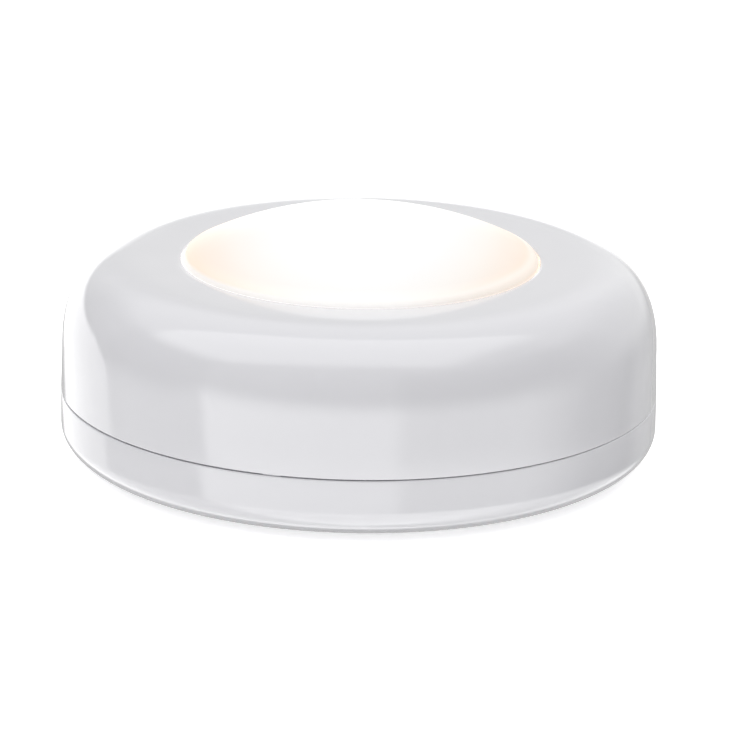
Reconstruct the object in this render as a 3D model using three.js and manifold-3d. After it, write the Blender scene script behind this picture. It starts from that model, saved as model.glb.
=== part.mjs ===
// Battery cabinet light: a round push-on, push-off lamp with a domed lens, on a base that locks with a twist.
// Millimetres, +Z up. The origin is the centre of the back face, which lies on the cabinet.
// The stack of heights starts at the back face. The body is as wide as the three cells side by side ask for,
// or as wide as the lens, the board's rim and the screw bosses ask for, where that is more.
import * as THREE from "three";
import { mergeVertices } from "three/addons/utils/BufferGeometryUtils.js";
import Module from "manifold-3d";

const wasm = await Module();
wasm.setup();

// Clearances shared by all the pieces
const runningGap = 0.3; // between pieces that move past each other
const pocketGap = 0.2; // round a piece that drops into a pocket
const cutOverrun = 1; // how far a cutter runs past the face that it cuts

// Facets in a full turn
const shellFacets = 56;
const mediumFacets = 24;
const smallFacets = 12;
const arcSteps = 3; // round a small fillet

// Cells, three AAA side by side
const cellDiameter = 10.2;
const cellLength = 44; // with the nub
const cellNubDiameter = 3.8;
const cellNubLength = 1;
const cellEdgeRound = 0.5;
const cellCount = 3;
const cellSpacing = 0.5; // between neighbours

// Contacts
const contactThickness = 0.35;
const contactWidth = 7.2;
const contactHeight = 7;
const contactTabWidth = 2.4;
const contactTabRise = 2.4; // above the deck
const springFreeLength = 2.6; // as the fitted cell leaves it
const springWire = 0.5;
const springBaseRadius = 2.3;
const springTipRadius = 1.2;
const springTurns = 2;
const springStepsPerTurn = 8;
const springSides = 5;

// Shell walls
const shellWall = 1.6;
const cellCornerRoom = 1.07; // from a cell's corner to the inside of the wall
const floorThickness = 1.8;

// Base
const baseHeight = 6.7;
const baseEdgeWidth = 6; // of the rounded lower edge, measured inwards
const baseEdgeHeight = 3.5;
const seamGap = 0.35;
const lipThickness = 0.7; // of the base's lip that enters the housing
const lipHeight = 1;
const lipClearance = 0.2;
const edgeBevel = 0.15;
const padMargin = 4.3; // flat ring left round the pad
const padThickness = 0.8;

// Bayonet
const lugCount = 4;
const lugAngle = 11; // degrees of arc
const lugCentreAngle = 9; // degrees, of the first lug
const lugThickness = 1;
const ledgeDepth = 1.2; // inwards from the base's wall
const ledgeThickness = 1;
const ledgeDrop = 0.8; // from the base's rim to the ledge
const ledgeMarginAngle = 0.5; // ledge past the lug at each end, degrees
const stopAngle = 1.8; // arc of the stop beside each lug, degrees
const stopGapAngle = 0.4; // between the stop and the lug at rest, degrees
const stopDepth = 2.7; // of the stop, downwards from the ledge's top
const tongueThickness = 1;
const tongueMarginAngle = 1; // tongue past the lug at each end, degrees
const tongueRootHeight = 1.5; // of the root that joins a tongue to the wall
const tongueRootGap = 0.4; // over the base's lip

// Seam spacers on the housing's lower edge, one of which shows at the front
const spacerCount = 3;
const spacerWidth = 1.8;
const spacerHeight = 0.2;
const spacerAngle = 254.1; // degrees, of the one at the front

// Housing
const topLand = 4.4; // from the lens hole to the crest
const shoulderHeight = 9.2;
const shoulderPower = 2.47; // of the superellipse that rounds the shoulder
const shoulderSteps = 9;
const shoulderInnerSteps = 4;
const wallDraft = 0.12; // how far the side leans in from the seam to the shoulder
const dishDepth = 0.3; // from the crest down to the lens hole
const holeEdgeRound = 0.35;
const lensGap = 0.25; // all round the lens
const collarThickness = 1.2;
const collarLength = 2.6;
const bossRadius = 2.3;
const bossHoleRadius = 1.25;
const bossHoleDepth = 4.6;
const bossWallRoom = 2.35; // from a boss to the inside of the wall

// Chassis, which carries the cells below and the board above
const deckThickness = 1;
const deckEdgeGap = 0.5;
const trayWall = 1;
const trayShellGap = 0.5;
const traySideDepth = 1.5; // below the cells' axis
const trayEndDepth = 3.7; // below the cells' axis
const cradleDepth = 2.8; // of the ribs between the cells
const cradleEndRoom = 2; // from the ribs to the end blocks
const contactWindowGap = 0.35; // round a spring

// Board
const boardThickness = 1;
const boardStandoff = 0.3;
const boardBossGap = 0.6;
const boardPadRadius = 1.8;
const pinWidth = 0.5;
const pinPitch = 2;
const pinRowGap = 4.4;
const pinTail = 0.6; // below the board
const pinHoleGap = 0.15;
const deckWindowRoom = 0.8; // round the pins

// Small parts on the board
const ledCount = 6;
const ledLength = 3.5;
const ledWidth = 2.8;
const ledHeight = 0.8;
const ledCircleShare = 0.59; // of the lens's radius
const ledWindowRadius = 1.1;
const ledWindowDepth = 0.15;
const resistorLength = 3.2;
const resistorWidth = 1.6;
const resistorHeight = 0.6;
const resistorCircleRadius = 6.4;

// Latching switch
const switchBodyWidth = 5.8;
const switchBodyHeight = 4.8;
const switchBodyBevel = 0.4;
const plungerRadius = 1.5;
const plungerNeckRadius = 1.1;
const plungerCapHeight = 1.2;
const switchHeight = 7.2; // to the top of the plunger
const plungerEngagement = 1.1; // of the plunger in the body at rest
const plungerGap = 0.2;

// Lens
const pressTravel = 1.2;
const lensRadius = 17.85;
const lensWall = 1.6;
const lensSkirtWall = 1.3;
const lensLip = 0.6; // above the hole's edge
const lensEdgeRound = 0.5;
const domeRise = 4.4;
const domeSteps = 8;
const domeInnerSteps = 3;
const hookCount = 3;
const hookHeight = 1;
const hookDepth = 0.95;
const hookAngle = 22; // degrees of arc
const hookMiddleAngle = 0; // degrees, of the first hook
const postRadius = 2.4;

// Screws
const screwHeadRadius = 2.1;
const screwHeadHeight = 1.2;
const screwShankRadius = 1.05;
const screwLength = 5.2;
const screwHoleGap = 0.2;
const boardScrewHeadRadius = 1.5;
const boardScrewHeadHeight = 0.9;
const boardScrewShankRadius = 0.75;
const boardScrewLength = 3.2;
const boardScrewCircleRadius = 13.5;
const recessLengthShare = 0.55; // of the head's diameter
const recessWidthShare = 0.18; // of the head's diameter
const recessDepthShare = 0.6; // of the head's height

// Wires
const wireRadius = 0.5;
const wireSides = 8;
const wireSteps = 10;
const wireReach = 1.5; // how far each end's direction carries into the bend
const wireLandGap = 0.3; // from the lens's hooks
const landMargin = 1.2; // from a wire's middle to the board's rim

// Heights, worked out from the back face up
const cellAxisZ = floorThickness + runningGap + cellDiameter / 2;
const deckBottomZ = cellAxisZ + cellDiameter / 2 + runningGap;
const deckTopZ = deckBottomZ + deckThickness;
const boardBottomZ = deckTopZ + boardStandoff;
const boardTopZ = boardBottomZ + boardThickness;
const hookBottomZ = boardTopZ + runningGap + pressTravel;
const collarBottomZ = hookBottomZ + hookHeight;
const holeEdgeZ = collarBottomZ + collarLength;
const crestZ = holeEdgeZ + dishDepth;
const lensRimZ = holeEdgeZ + lensLip;
const domeTopZ = lensRimZ + domeRise;
const seamTopZ = baseHeight + seamGap;
const shoulderZ = crestZ - shoulderHeight;
const plungerTopZ = boardTopZ + switchHeight;
const switchBodyTopZ = boardTopZ + switchBodyHeight;
const ledgeTopZ = baseHeight - ledgeDrop;
const ledgeBottomZ = ledgeTopZ - ledgeThickness;
const lugTopZ = ledgeBottomZ - runningGap;
const lugBottomZ = lugTopZ - lugThickness;
const tongueRootBottomZ = baseHeight + lipHeight + tongueRootGap;
const tongueRootTopZ = tongueRootBottomZ + tongueRootHeight;
const contactBottomZ = cellAxisZ - contactHeight / 2;

// Places along the cells
const cellPitch = cellDiameter + cellSpacing;
const contactFaceX = (cellLength + springFreeLength) / 2;
const contactBackX = contactFaceX + contactThickness;
const cellShoulderX = contactFaceX - cellNubLength;
const trayEndX = contactBackX + trayWall;
const traySideY = (cellPitch * (cellCount - 1) + cellDiameter) / 2 + runningGap;
const outerCellY = (cellPitch * (cellCount - 1)) / 2;

// Radii
const holeRadius = lensRadius + lensGap;
const collarOuterRadius = holeRadius + collarThickness;
const crestRadius = holeRadius + topLand;
const hookOuterRadius = lensRadius + hookDepth;
const landRadius = hookOuterRadius + wireLandGap + wireRadius;
const boardRadius = landRadius + landMargin;
const cellCornerRadius = Math.hypot(cellShoulderX, outerCellY + cellDiameter / 2);
const radiusForCells = cellCornerRadius + cellCornerRoom;
const radiusForLens = boardRadius + boardBossGap + 2 * bossRadius + bossWallRoom;
const shellInnerRadius = Math.max(radiusForCells, radiusForLens);
const bodyRadius = shellInnerRadius + shellWall;
const padRadius = bodyRadius - baseEdgeWidth - padMargin;
const trayRadius = shellInnerRadius - trayShellGap;
const ledgeInnerRadius = shellInnerRadius - ledgeDepth;
const tongueOuterRadius = ledgeInnerRadius - runningGap;
const tongueInnerRadius = tongueOuterRadius - tongueThickness;
const lugOuterRadius = shellInnerRadius - runningGap;
const lipOuterRadius = shellInnerRadius + lipThickness;
const rebateRadius = lipOuterRadius + lipClearance;
const bossCircleRadius = shellInnerRadius - bossWallRoom - bossRadius;
const bossY = traySideY + trayWall + runningGap + screwHeadRadius;
const bossX = Math.sqrt(bossCircleRadius ** 2 - bossY ** 2);
const ledCircleRadius = lensRadius * ledCircleShare;
const boardScrewY = cellPitch / 2;
const boardScrewX = Math.sqrt(boardScrewCircleRadius ** 2 - boardScrewY ** 2);

// Finishes
function material(color, roughness, metalness = 0) {
  return new THREE.MeshStandardMaterial({ color, roughness, metalness });
}

const glossWhite = material(0xe6e6ea, 0.18);
const lensMilk = material(0xfff2df, 0.25);
const chassisWhite = material(0xdcdcd8, 0.45);
const foamWhite = material(0xefeee8, 0.95);
const boardWhite = material(0xf0f0ec, 0.4);
const ledYellow = material(0xf1d36a, 0.3);
const chipBlack = material(0x1d1d20, 0.5);
const switchBlack = material(0x222225, 0.45);
const plungerWhite = material(0xeeeeea, 0.35);
const nickel = material(0xc6c5bf, 0.28, 1);
const zincSteel = material(0xb4b6ba, 0.35, 1);
const cellSleeve = material(0x3f6f54, 0.3);
const wireRed = material(0xb8201c, 0.5);
const wireBlack = material(0x18181a, 0.5);

// The base stays on the cabinet, and the head twists on it with all that it carries.
const root = new THREE.Group();
const base = new THREE.Group();
const head = new THREE.Group();
root.add(base, head);
const radians = THREE.MathUtils.degToRad;
const quarterTurn = Math.PI / 2;

// A closed three.js geometry as a solid that can be joined and cut.
function solid(geometry) {
  const bare = geometry.index ? geometry.toNonIndexed() : geometry.clone();
  for (const name of Object.keys(bare.attributes)) if (name !== "position") bare.deleteAttribute(name);
  const merged = mergeVertices(bare, 1e-4);
  const vertProperties = merged.attributes.position.array;
  const triVerts = new Uint32Array(merged.index.array);
  return new wasm.Manifold(new wasm.Mesh({ numProp: 3, vertProperties, triVerts }));
}

// A solid as a named mesh in one of the groups.
function addPiece(group, name, body, finish) {
  const made = body.getMesh();
  const geometry = new THREE.BufferGeometry();
  geometry.setAttribute("position", new THREE.BufferAttribute(new Float32Array(made.vertProperties), 3));
  geometry.setIndex(new THREE.BufferAttribute(new Uint32Array(made.triVerts), 1));
  geometry.computeVertexNormals();
  const mesh = new THREE.Mesh(geometry, finish);
  mesh.name = name;
  group.add(mesh);
  return mesh;
}

// A closed profile of [radius, height] pairs turned round the Z axis.
function revolve(profile, facets) {
  const points = profile.map(([radius, height]) => new THREE.Vector2(radius, height));
  const closed = points[0].x === 0 && points.at(-1).x === 0 ? points : [...points, points[0].clone()];
  return solid(new THREE.LatheGeometry(closed, facets).rotateX(quarterTurn));
}

// A flat outline pushed up from one height to another.
function prism(shape, lowZ, highZ, curveSegments = smallFacets) {
  const options = { depth: highZ - lowZ, bevelEnabled: false, curveSegments };
  return solid(new THREE.ExtrudeGeometry(shape, options).translate(0, 0, lowZ));
}

// An upright cylinder.
function rod(radius, lowZ, highZ, x = 0, y = 0, facets = smallFacets) {
  const geometry = new THREE.CylinderGeometry(radius, radius, highZ - lowZ, facets).rotateX(quarterTurn);
  return solid(geometry.translate(x, y, (lowZ + highZ) / 2));
}

// A box between two corners.
function block(lowX, highX, lowY, highY, lowZ, highZ) {
  const geometry = new THREE.BoxGeometry(highX - lowX, highY - lowY, highZ - lowZ);
  return solid(geometry.translate((lowX + highX) / 2, (lowY + highY) / 2, (lowZ + highZ) / 2));
}

// A stretch of a ring between two angles in degrees.
function ringSector(innerRadius, outerRadius, startAngle, endAngle, lowZ, highZ) {
  const start = radians(startAngle);
  const end = radians(endAngle);
  const shape = new THREE.Shape();
  shape.absarc(0, 0, outerRadius, start, end, false);
  shape.absarc(0, 0, innerRadius, end, start, true);
  return prism(shape, lowZ, highZ, arcSteps);
}

// Points on an elliptical arc in a profile, from one angle to another in radians.
function arcPoints(centreR, centreZ, radiusR, radiusZ, from, to, steps = arcSteps) {
  return Array.from({ length: steps + 1 }, (_, i) => {
    const angle = from + ((to - from) * i) / steps;
    return [centreR + radiusR * Math.cos(angle), centreZ + radiusZ * Math.sin(angle)];
  });
}

// The shoulder's superellipse, from the side wall up to the crest, drawn in by an inset.
function shoulderPoints(inset, steps) {
  const halfWidth = bodyRadius - wallDraft - crestRadius - inset;
  const halfHeight = shoulderHeight - inset;
  return Array.from({ length: steps + 1 }, (_, i) => {
    const angle = quarterTurn * (i / steps);
    const across = Math.max(0, Math.cos(angle)) ** (2 / shoulderPower);
    const up = Math.sin(angle) ** (2 / shoulderPower);
    return [crestRadius + halfWidth * across, shoulderZ + halfHeight * up];
  });
}

// The radius of that superellipse at a height between its foot and the crest.
function shoulderRadiusAt(inset, height) {
  const halfWidth = bodyRadius - wallDraft - crestRadius - inset;
  const up = Math.max(0, height - shoulderZ) / (shoulderHeight - inset);
  return crestRadius + halfWidth * (1 - up ** shoulderPower) ** (1 / shoulderPower);
}

const join = (solids) => solids.reduce((sum, next) => sum.add(next));
const cut = (body, cutters) => cutters.reduce((rest, cutter) => rest.subtract(cutter), body);
const around = (count, firstAngle) => Array.from({ length: count }, (_, i) => firstAngle + (360 * i) / count);
const bossPlaces = [-1, 1].flatMap((sideX) => [-1, 1].map((sideY) => [sideX * bossX, sideY * bossY]));
const boardScrewPlaces = [-1, 1].map((side) => [side * boardScrewX, side * boardScrewY]);
const cellPlaces = Array.from({ length: cellCount }, (_, i) => (i - (cellCount - 1) / 2) * cellPitch);
const lugAngles = around(lugCount, lugCentreAngle);

// Base: a cup with a rounded lower edge, a lip on its rim, and a ledge and a stop for each lug.
function makeBase() {
  const edgeR = bodyRadius - baseEdgeWidth;
  const innerEdgeWidth = baseEdgeWidth - shellWall;
  const innerEdgeHeight = baseEdgeHeight - floorThickness;
  const cup = revolve(
    [
      [0, 0],
      ...arcPoints(edgeR, baseEdgeHeight, baseEdgeWidth, baseEdgeHeight, -quarterTurn, 0, 2 * arcSteps),
      [bodyRadius, baseHeight - edgeBevel],
      [bodyRadius - edgeBevel, baseHeight],
      [lipOuterRadius, baseHeight],
      [lipOuterRadius, baseHeight + lipHeight],
      [shellInnerRadius, baseHeight + lipHeight],
      ...arcPoints(edgeR, baseEdgeHeight, innerEdgeWidth, innerEdgeHeight, 0, -quarterTurn),
      [0, floorThickness],
    ],
    shellFacets,
  );
  const rootRadius = shellInnerRadius + shellWall / 2;
  const ledges = lugAngles.map((angle) => {
    const start = angle - lugAngle / 2 - ledgeMarginAngle;
    const end = angle + lugAngle / 2 + ledgeMarginAngle;
    return ringSector(ledgeInnerRadius, rootRadius, start, end, ledgeBottomZ, ledgeTopZ);
  });
  const stops = lugAngles.map((angle) => {
    const end = angle - lugAngle / 2 - stopGapAngle;
    return ringSector(ledgeInnerRadius, rootRadius, end - stopAngle, end, ledgeTopZ - stopDepth, ledgeTopZ);
  });
  const recess = rod(padRadius + runningGap, -cutOverrun, padThickness, 0, 0, shellFacets);
  addPiece(base, "base", cut(join([cup, ...ledges, ...stops]), [recess]), glossWhite);
}

// Adhesive pad in the base's recess, at its pressed thickness.
function makePad() {
  addPiece(base, "adhesive_pad", rod(padRadius, 0, padThickness, 0, 0, shellFacets), foamWhite);
}

// Housing: the upper shell, with the collar that guides the lens, four screw bosses and the bayonet tongues.
function makeHousing() {
  const roofZ = crestZ - shellWall;
  const holeEdgeR = holeRadius + holeEdgeRound;
  const holeEdgeRoundZ = holeEdgeZ - holeEdgeRound;
  const shell = revolve(
    [
      [rebateRadius, seamTopZ],
      [bodyRadius - edgeBevel, seamTopZ],
      [bodyRadius, seamTopZ + edgeBevel],
      ...shoulderPoints(0, shoulderSteps),
      ...arcPoints(holeEdgeR, holeEdgeRoundZ, holeEdgeRound, holeEdgeRound, quarterTurn, Math.PI),
      [holeRadius, collarBottomZ],
      [collarOuterRadius, collarBottomZ],
      [collarOuterRadius, roofZ],
      ...shoulderPoints(shellWall, shoulderInnerSteps).reverse(),
      [shellInnerRadius, tongueRootTopZ],
      [shellInnerRadius, tongueRootBottomZ],
      [rebateRadius, tongueRootBottomZ],
    ],
    shellFacets,
  );
  const midWall = shellWall / 2;
  const upperShoulder = shoulderPoints(midWall, shoulderSteps).filter(([, z]) => z > deckBottomZ);
  const footRadius = shoulderRadiusAt(midWall, deckBottomZ);
  const bossRoom = revolve(
    [[0, deckBottomZ], [footRadius, deckBottomZ], ...upperShoulder, [0, crestZ - midWall]],
    shellFacets,
  );
  const bosses = bossPlaces.map(([x, y]) =>
    rod(bossRadius, deckTopZ, crestZ, x, y, mediumFacets).intersect(bossRoom),
  );
  const tongues = lugAngles.flatMap((angle) => {
    const half = lugAngle / 2 + tongueMarginAngle;
    const start = angle - half;
    const end = angle + half;
    const lugEnd = lugAngle / 2;
    return [
      ringSector(tongueInnerRadius, tongueOuterRadius, start, end, lugBottomZ, tongueRootTopZ),
      ringSector(tongueInnerRadius, rebateRadius, start, end, tongueRootBottomZ, tongueRootTopZ),
      ringSector(tongueInnerRadius, lugOuterRadius, angle - lugEnd, angle + lugEnd, lugBottomZ, lugTopZ),
    ];
  });
  const spacerHalf = THREE.MathUtils.radToDeg(spacerWidth / 2 / bodyRadius);
  const spacerRadius = bodyRadius - edgeBevel;
  const spacerLowZ = seamTopZ - spacerHeight;
  const spacerHighZ = seamTopZ + edgeBevel;
  const spacers = around(spacerCount, spacerAngle).map((angle) =>
    ringSector(rebateRadius, spacerRadius, angle - spacerHalf, angle + spacerHalf, spacerLowZ, spacerHighZ),
  );
  const holes = bossPlaces.map(([x, y]) =>
    rod(bossHoleRadius, deckTopZ - cutOverrun, deckTopZ + bossHoleDepth, x, y),
  );
  addPiece(head, "housing", cut(join([shell, ...bosses, ...tongues, ...spacers]), holes), glossWhite);
}

// Lens: a spherical dome, a skirt that slides in the collar, three hooks under it and a post on the switch.
function makeLens() {
  const sphereRadius = (lensRadius ** 2 + domeRise ** 2) / (2 * domeRise);
  const sphereZ = domeTopZ - sphereRadius;
  const heightAt = (radius, r) => sphereZ + Math.sqrt(radius ** 2 - r ** 2);
  const innerSphere = sphereRadius - lensWall;
  const skirtInner = lensRadius - lensSkirtWall;
  const domePoints = (radius, from, to, steps) =>
    Array.from({ length: steps + 1 }, (_, i) => {
      const r = from + ((to - from) * i) / steps;
      return [r, heightAt(radius, r)];
    });
  const roundR = lensRadius - lensEdgeRound;
  const roundZ = heightAt(sphereRadius - lensEdgeRound, roundR);
  const roundEnd = Math.atan2(roundZ - sphereZ, roundR);
  const edge = arcPoints(roundR, roundZ, lensEdgeRound, lensEdgeRound, 0, roundEnd);
  const dome = revolve(
    [
      [0, plungerTopZ],
      [postRadius, plungerTopZ],
      ...domePoints(innerSphere, postRadius, skirtInner, domeInnerSteps),
      [skirtInner, hookBottomZ],
      [lensRadius, hookBottomZ],
      ...edge,
      ...domePoints(sphereRadius, edge.at(-1)[0], 0, domeSteps).slice(1),
    ],
    shellFacets,
  );
  const hooks = around(hookCount, hookMiddleAngle).map((angle) => {
    const half = hookAngle / 2;
    const rootRadius = lensRadius - lensSkirtWall / 2;
    return ringSector(rootRadius, hookOuterRadius, angle - half, angle + half, hookBottomZ, collarBottomZ);
  });
  addPiece(head, "lens", join([dome, ...hooks]), lensMilk);
}

// The contacts at the two ends: which cells each one spans, whether it has a tab, and its end of the tray.
const contacts = [
  { name: "contact_positive", side: 1, cells: [0], tab: true },
  { name: "contact_link_right", side: 1, cells: [1, 2], tab: false },
  { name: "contact_link_left", side: -1, cells: [0, 1], tab: false },
  { name: "contact_negative", side: -1, cells: [2], tab: true },
];

// A contact plate, or with a gap the pocket that it slides up into.
function contactPlate({ side, cells, tab }, gap) {
  const lowY = cellPlaces[cells[0]] - contactWidth / 2 - gap;
  const highY = cellPlaces[cells.at(-1)] + contactWidth / 2 + gap;
  const nearX = side > 0 ? contactFaceX - gap : -contactBackX;
  const farX = side > 0 ? contactBackX : -contactFaceX + gap;
  const topZ = cellAxisZ + contactHeight / 2 + gap;
  const bottomZ = gap > 0 ? cellAxisZ - trayEndDepth - cutOverrun : contactBottomZ;
  const plate = block(nearX, farX, lowY, highY, bottomZ, topZ);
  if (!tab) return plate;
  const tabY = cellPlaces[cells[0]];
  const tabHalf = contactTabWidth / 2 + gap;
  const tabTopZ = deckTopZ + contactTabRise;
  const tabNearX = side > 0 ? nearX : nearX - gap;
  const tabFarX = side > 0 ? farX + gap : farX;
  return plate.add(block(tabNearX, tabFarX, tabY - tabHalf, tabY + tabHalf, topZ - cutOverrun, tabTopZ));
}

// Chassis: a round deck with a cradle for the cells under it and an end block for the contacts at each end.
function makeChassis() {
  const deckRadius = shoulderRadiusAt(shellWall, deckTopZ) - deckEdgeGap;
  const deck = rod(deckRadius, deckBottomZ, deckTopZ, 0, 0, shellFacets);
  const blockInnerX = cellShoulderX + runningGap;
  const ribX = blockInnerX - cradleEndRoom;
  const topZ = deckBottomZ + deckThickness / 2;
  const cradle = block(-ribX, ribX, -traySideY, traySideY, deckBottomZ - cradleDepth, topZ);
  const sides = [-1, 1].map((side) => {
    const lowY = side > 0 ? traySideY : -traySideY - trayWall;
    return block(-trayEndX, trayEndX, lowY, lowY + trayWall, cellAxisZ - traySideDepth, topZ);
  });
  const ends = [-1, 1].map((side) => {
    const lowX = side > 0 ? blockInnerX : -trayEndX;
    const highX = side > 0 ? trayEndX : -blockInnerX;
    return block(lowX, highX, -traySideY, traySideY, cellAxisZ - trayEndDepth, topZ);
  });
  const envelope = rod(trayRadius, cellAxisZ - trayEndDepth - cutOverrun, deckBottomZ, 0, 0, shellFacets);
  const lowerPart = join([cradle, ...sides, ...ends]).intersect(envelope.add(deck));
  const pads = boardScrewPlaces.flatMap(([x, y]) => [
    rod(boardPadRadius, deckTopZ - deckThickness / 2, boardBottomZ, x, y),
    rod(boardPadRadius, deckTopZ - deckThickness / 2, boardBottomZ, x, -y),
  ]);
  const cellRoom = cellPlaces.map((y) => {
    return lyingRod(cellDiameter / 2 + runningGap, -blockInnerX, blockInnerX, y, mediumFacets);
  });
  const windows = contacts.flatMap(({ side, cells }) =>
    cells.map((cell) => {
      const half = springBaseRadius + springWire / 2 + contactWindowGap;
      const y = cellPlaces[cell];
      const nearX = side > 0 ? blockInnerX - cutOverrun : -contactFaceX;
      const farX = side > 0 ? contactFaceX : -blockInnerX + cutOverrun;
      const bottomZ = cellAxisZ - trayEndDepth - cutOverrun;
      return block(nearX, farX, y - half, y + half, bottomZ, cellAxisZ + half);
    }),
  );
  const pockets = contacts.map((contact) => contactPlate(contact, pocketGap));
  const screwHoles = bossPlaces.map(([x, y]) =>
    rod(screwShankRadius + screwHoleGap, deckBottomZ - cutOverrun, deckTopZ + cutOverrun, x, y),
  );
  const boardScrewHoles = boardScrewPlaces.map(([x, y]) => {
    const bottomZ = boardTopZ - boardScrewLength - screwHoleGap;
    return rod(boardScrewShankRadius + screwHoleGap, bottomZ, boardBottomZ + cutOverrun, x, y);
  });
  const windowX = pinRowGap / 2 + pinWidth / 2 + deckWindowRoom;
  const windowY = pinPitch + pinWidth / 2 + deckWindowRoom;
  const belowZ = deckBottomZ - cutOverrun;
  const aboveZ = deckTopZ + cutOverrun;
  const pinWindow = block(-windowX, windowX, -windowY, windowY, belowZ, aboveZ);
  const tongueReliefs = lugAngles.map((angle) => {
    const half = lugAngle / 2 + tongueMarginAngle;
    const innerRadius = tongueInnerRadius - runningGap;
    const topZ = tongueRootTopZ + runningGap;
    return ringSector(innerRadius, bodyRadius, angle - half, angle + half, -cutOverrun, topZ);
  });
  const body = join([deck, lowerPart, ...pads]);
  const holes = [...screwHoles, ...boardScrewHoles, pinWindow];
  const cutters = [...cellRoom, ...windows, ...pockets, ...holes, ...tongueReliefs];
  addPiece(head, "chassis", cut(body, cutters), chassisWhite);
}

// A rod that lies along X at the cells' height.
function lyingRod(radius, lowX, highX, y, facets) {
  const geometry = new THREE.CylinderGeometry(radius, radius, highX - lowX, facets).rotateZ(quarterTurn);
  return solid(geometry.translate((lowX + highX) / 2, y, cellAxisZ));
}

// The six switch pins' places on the board.
const pinPlaces = [-1, 1].flatMap((row) =>
  [-1, 0, 1].map((step) => [(row * pinRowGap) / 2, step * pinPitch]),
);

// Board: a round plate with holes for its screws and for the switch's pins.
function makeBoard() {
  const plate = rod(boardRadius, boardBottomZ, boardTopZ, 0, 0, shellFacets);
  const bottomZ = boardBottomZ - cutOverrun;
  const topZ = boardTopZ + cutOverrun;
  const screwHoleRadius = boardScrewShankRadius + screwHoleGap;
  const screwHoles = boardScrewPlaces.map(([x, y]) => rod(screwHoleRadius, bottomZ, topZ, x, y));
  const half = pinWidth / 2 + pinHoleGap;
  const pinHoles = pinPlaces.map(([x, y]) => block(x - half, x + half, y - half, y + half, bottomZ, topZ));
  addPiece(head, "led_board", cut(plate, [...screwHoles, ...pinHoles]), boardWhite);
}

// LEDs: flat packages on a circle, each with its round window sunk in the top.
function makeLeds() {
  const halfLength = ledLength / 2;
  const halfWidth = ledWidth / 2;
  const body = block(-halfLength, halfLength, -halfWidth, halfWidth, 0, ledHeight);
  const well = rod(ledWindowRadius, ledHeight - ledWindowDepth, ledHeight + cutOverrun);
  const made = cut(body, [well]);
  around(ledCount, 0).forEach((angle, i) => {
    const turn = radians(angle);
    const led = addPiece(head, "led_" + (i + 1), made, ledYellow);
    led.position.set(ledCircleRadius * Math.cos(turn), ledCircleRadius * Math.sin(turn), boardTopZ);
    led.rotation.z = turn;
  });
}

// Resistors, one for each string of three LEDs.
function makeResistors() {
  const halfLength = resistorLength / 2;
  const halfWidth = resistorWidth / 2;
  const body = block(-halfLength, halfLength, -halfWidth, halfWidth, 0, resistorHeight);
  [-1, 1].forEach((side, i) => {
    const resistor = addPiece(head, "resistor_" + (i + 1), body, chipBlack);
    resistor.position.set(0, side * resistorCircleRadius, boardTopZ);
  });
}

// Latching switch: a square body with a well for its plunger and six pins through the board.
function makeSwitch() {
  const half = switchBodyWidth / 2;
  const outline = new THREE.Shape();
  outline.moveTo(-half + switchBodyBevel, -half);
  outline.lineTo(half - switchBodyBevel, -half);
  outline.lineTo(half, -half + switchBodyBevel);
  outline.lineTo(half, half - switchBodyBevel);
  outline.lineTo(half - switchBodyBevel, half);
  outline.lineTo(-half + switchBodyBevel, half);
  outline.lineTo(-half, half - switchBodyBevel);
  outline.lineTo(-half, -half + switchBodyBevel);
  const plungerBottomZ = switchBodyTopZ - plungerEngagement;
  const wellBottomZ = plungerBottomZ - pressTravel - plungerGap;
  const well = rod(plungerRadius + plungerGap, wellBottomZ, switchBodyTopZ + cutOverrun);
  const pinHalf = pinWidth / 2;
  const pins = pinPlaces.map(([x, y]) =>
    block(x - pinHalf, x + pinHalf, y - pinHalf, y + pinHalf, boardBottomZ - pinTail, boardTopZ + pinWidth),
  );
  const casing = prism(outline, boardTopZ, switchBodyTopZ);
  addPiece(head, "switch_body", cut(join([casing, ...pins]), [well]), switchBlack);
  const plunger = revolve(
    [
      [0, plungerBottomZ],
      [plungerRadius, plungerBottomZ],
      [plungerRadius, switchBodyTopZ - plungerGap],
      [plungerNeckRadius, switchBodyTopZ - plungerGap],
      [plungerNeckRadius, plungerTopZ - plungerCapHeight],
      [plungerRadius, plungerTopZ - plungerCapHeight],
      [plungerRadius, plungerTopZ],
      [0, plungerTopZ],
    ],
    smallFacets,
  );
  addPiece(head, "switch_plunger", plunger, plungerWhite);
}

// Cells: a rounded can with its nub, turned end for end from one to the next.
function makeCells() {
  const edgeR = cellDiameter / 2 - cellEdgeRound;
  const negativeEnd = cellShoulderX - (cellLength - cellNubLength);
  const lowEdge = negativeEnd + cellEdgeRound;
  const highEdge = cellShoulderX - cellEdgeRound;
  const standing = revolve(
    [
      [0, negativeEnd],
      ...arcPoints(edgeR, lowEdge, cellEdgeRound, cellEdgeRound, -quarterTurn, 0),
      ...arcPoints(edgeR, highEdge, cellEdgeRound, cellEdgeRound, 0, quarterTurn),
      [cellNubDiameter / 2, cellShoulderX],
      [cellNubDiameter / 2, contactFaceX],
      [0, contactFaceX],
    ],
    mediumFacets,
  );
  cellPlaces.forEach((y, i) => {
    const cell = addPiece(head, "cell_" + (i + 1), standing, cellSleeve);
    cell.position.set(0, y, cellAxisZ);
    cell.rotation.y = i % 2 === 0 ? quarterTurn : -quarterTurn;
  });
}

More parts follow.
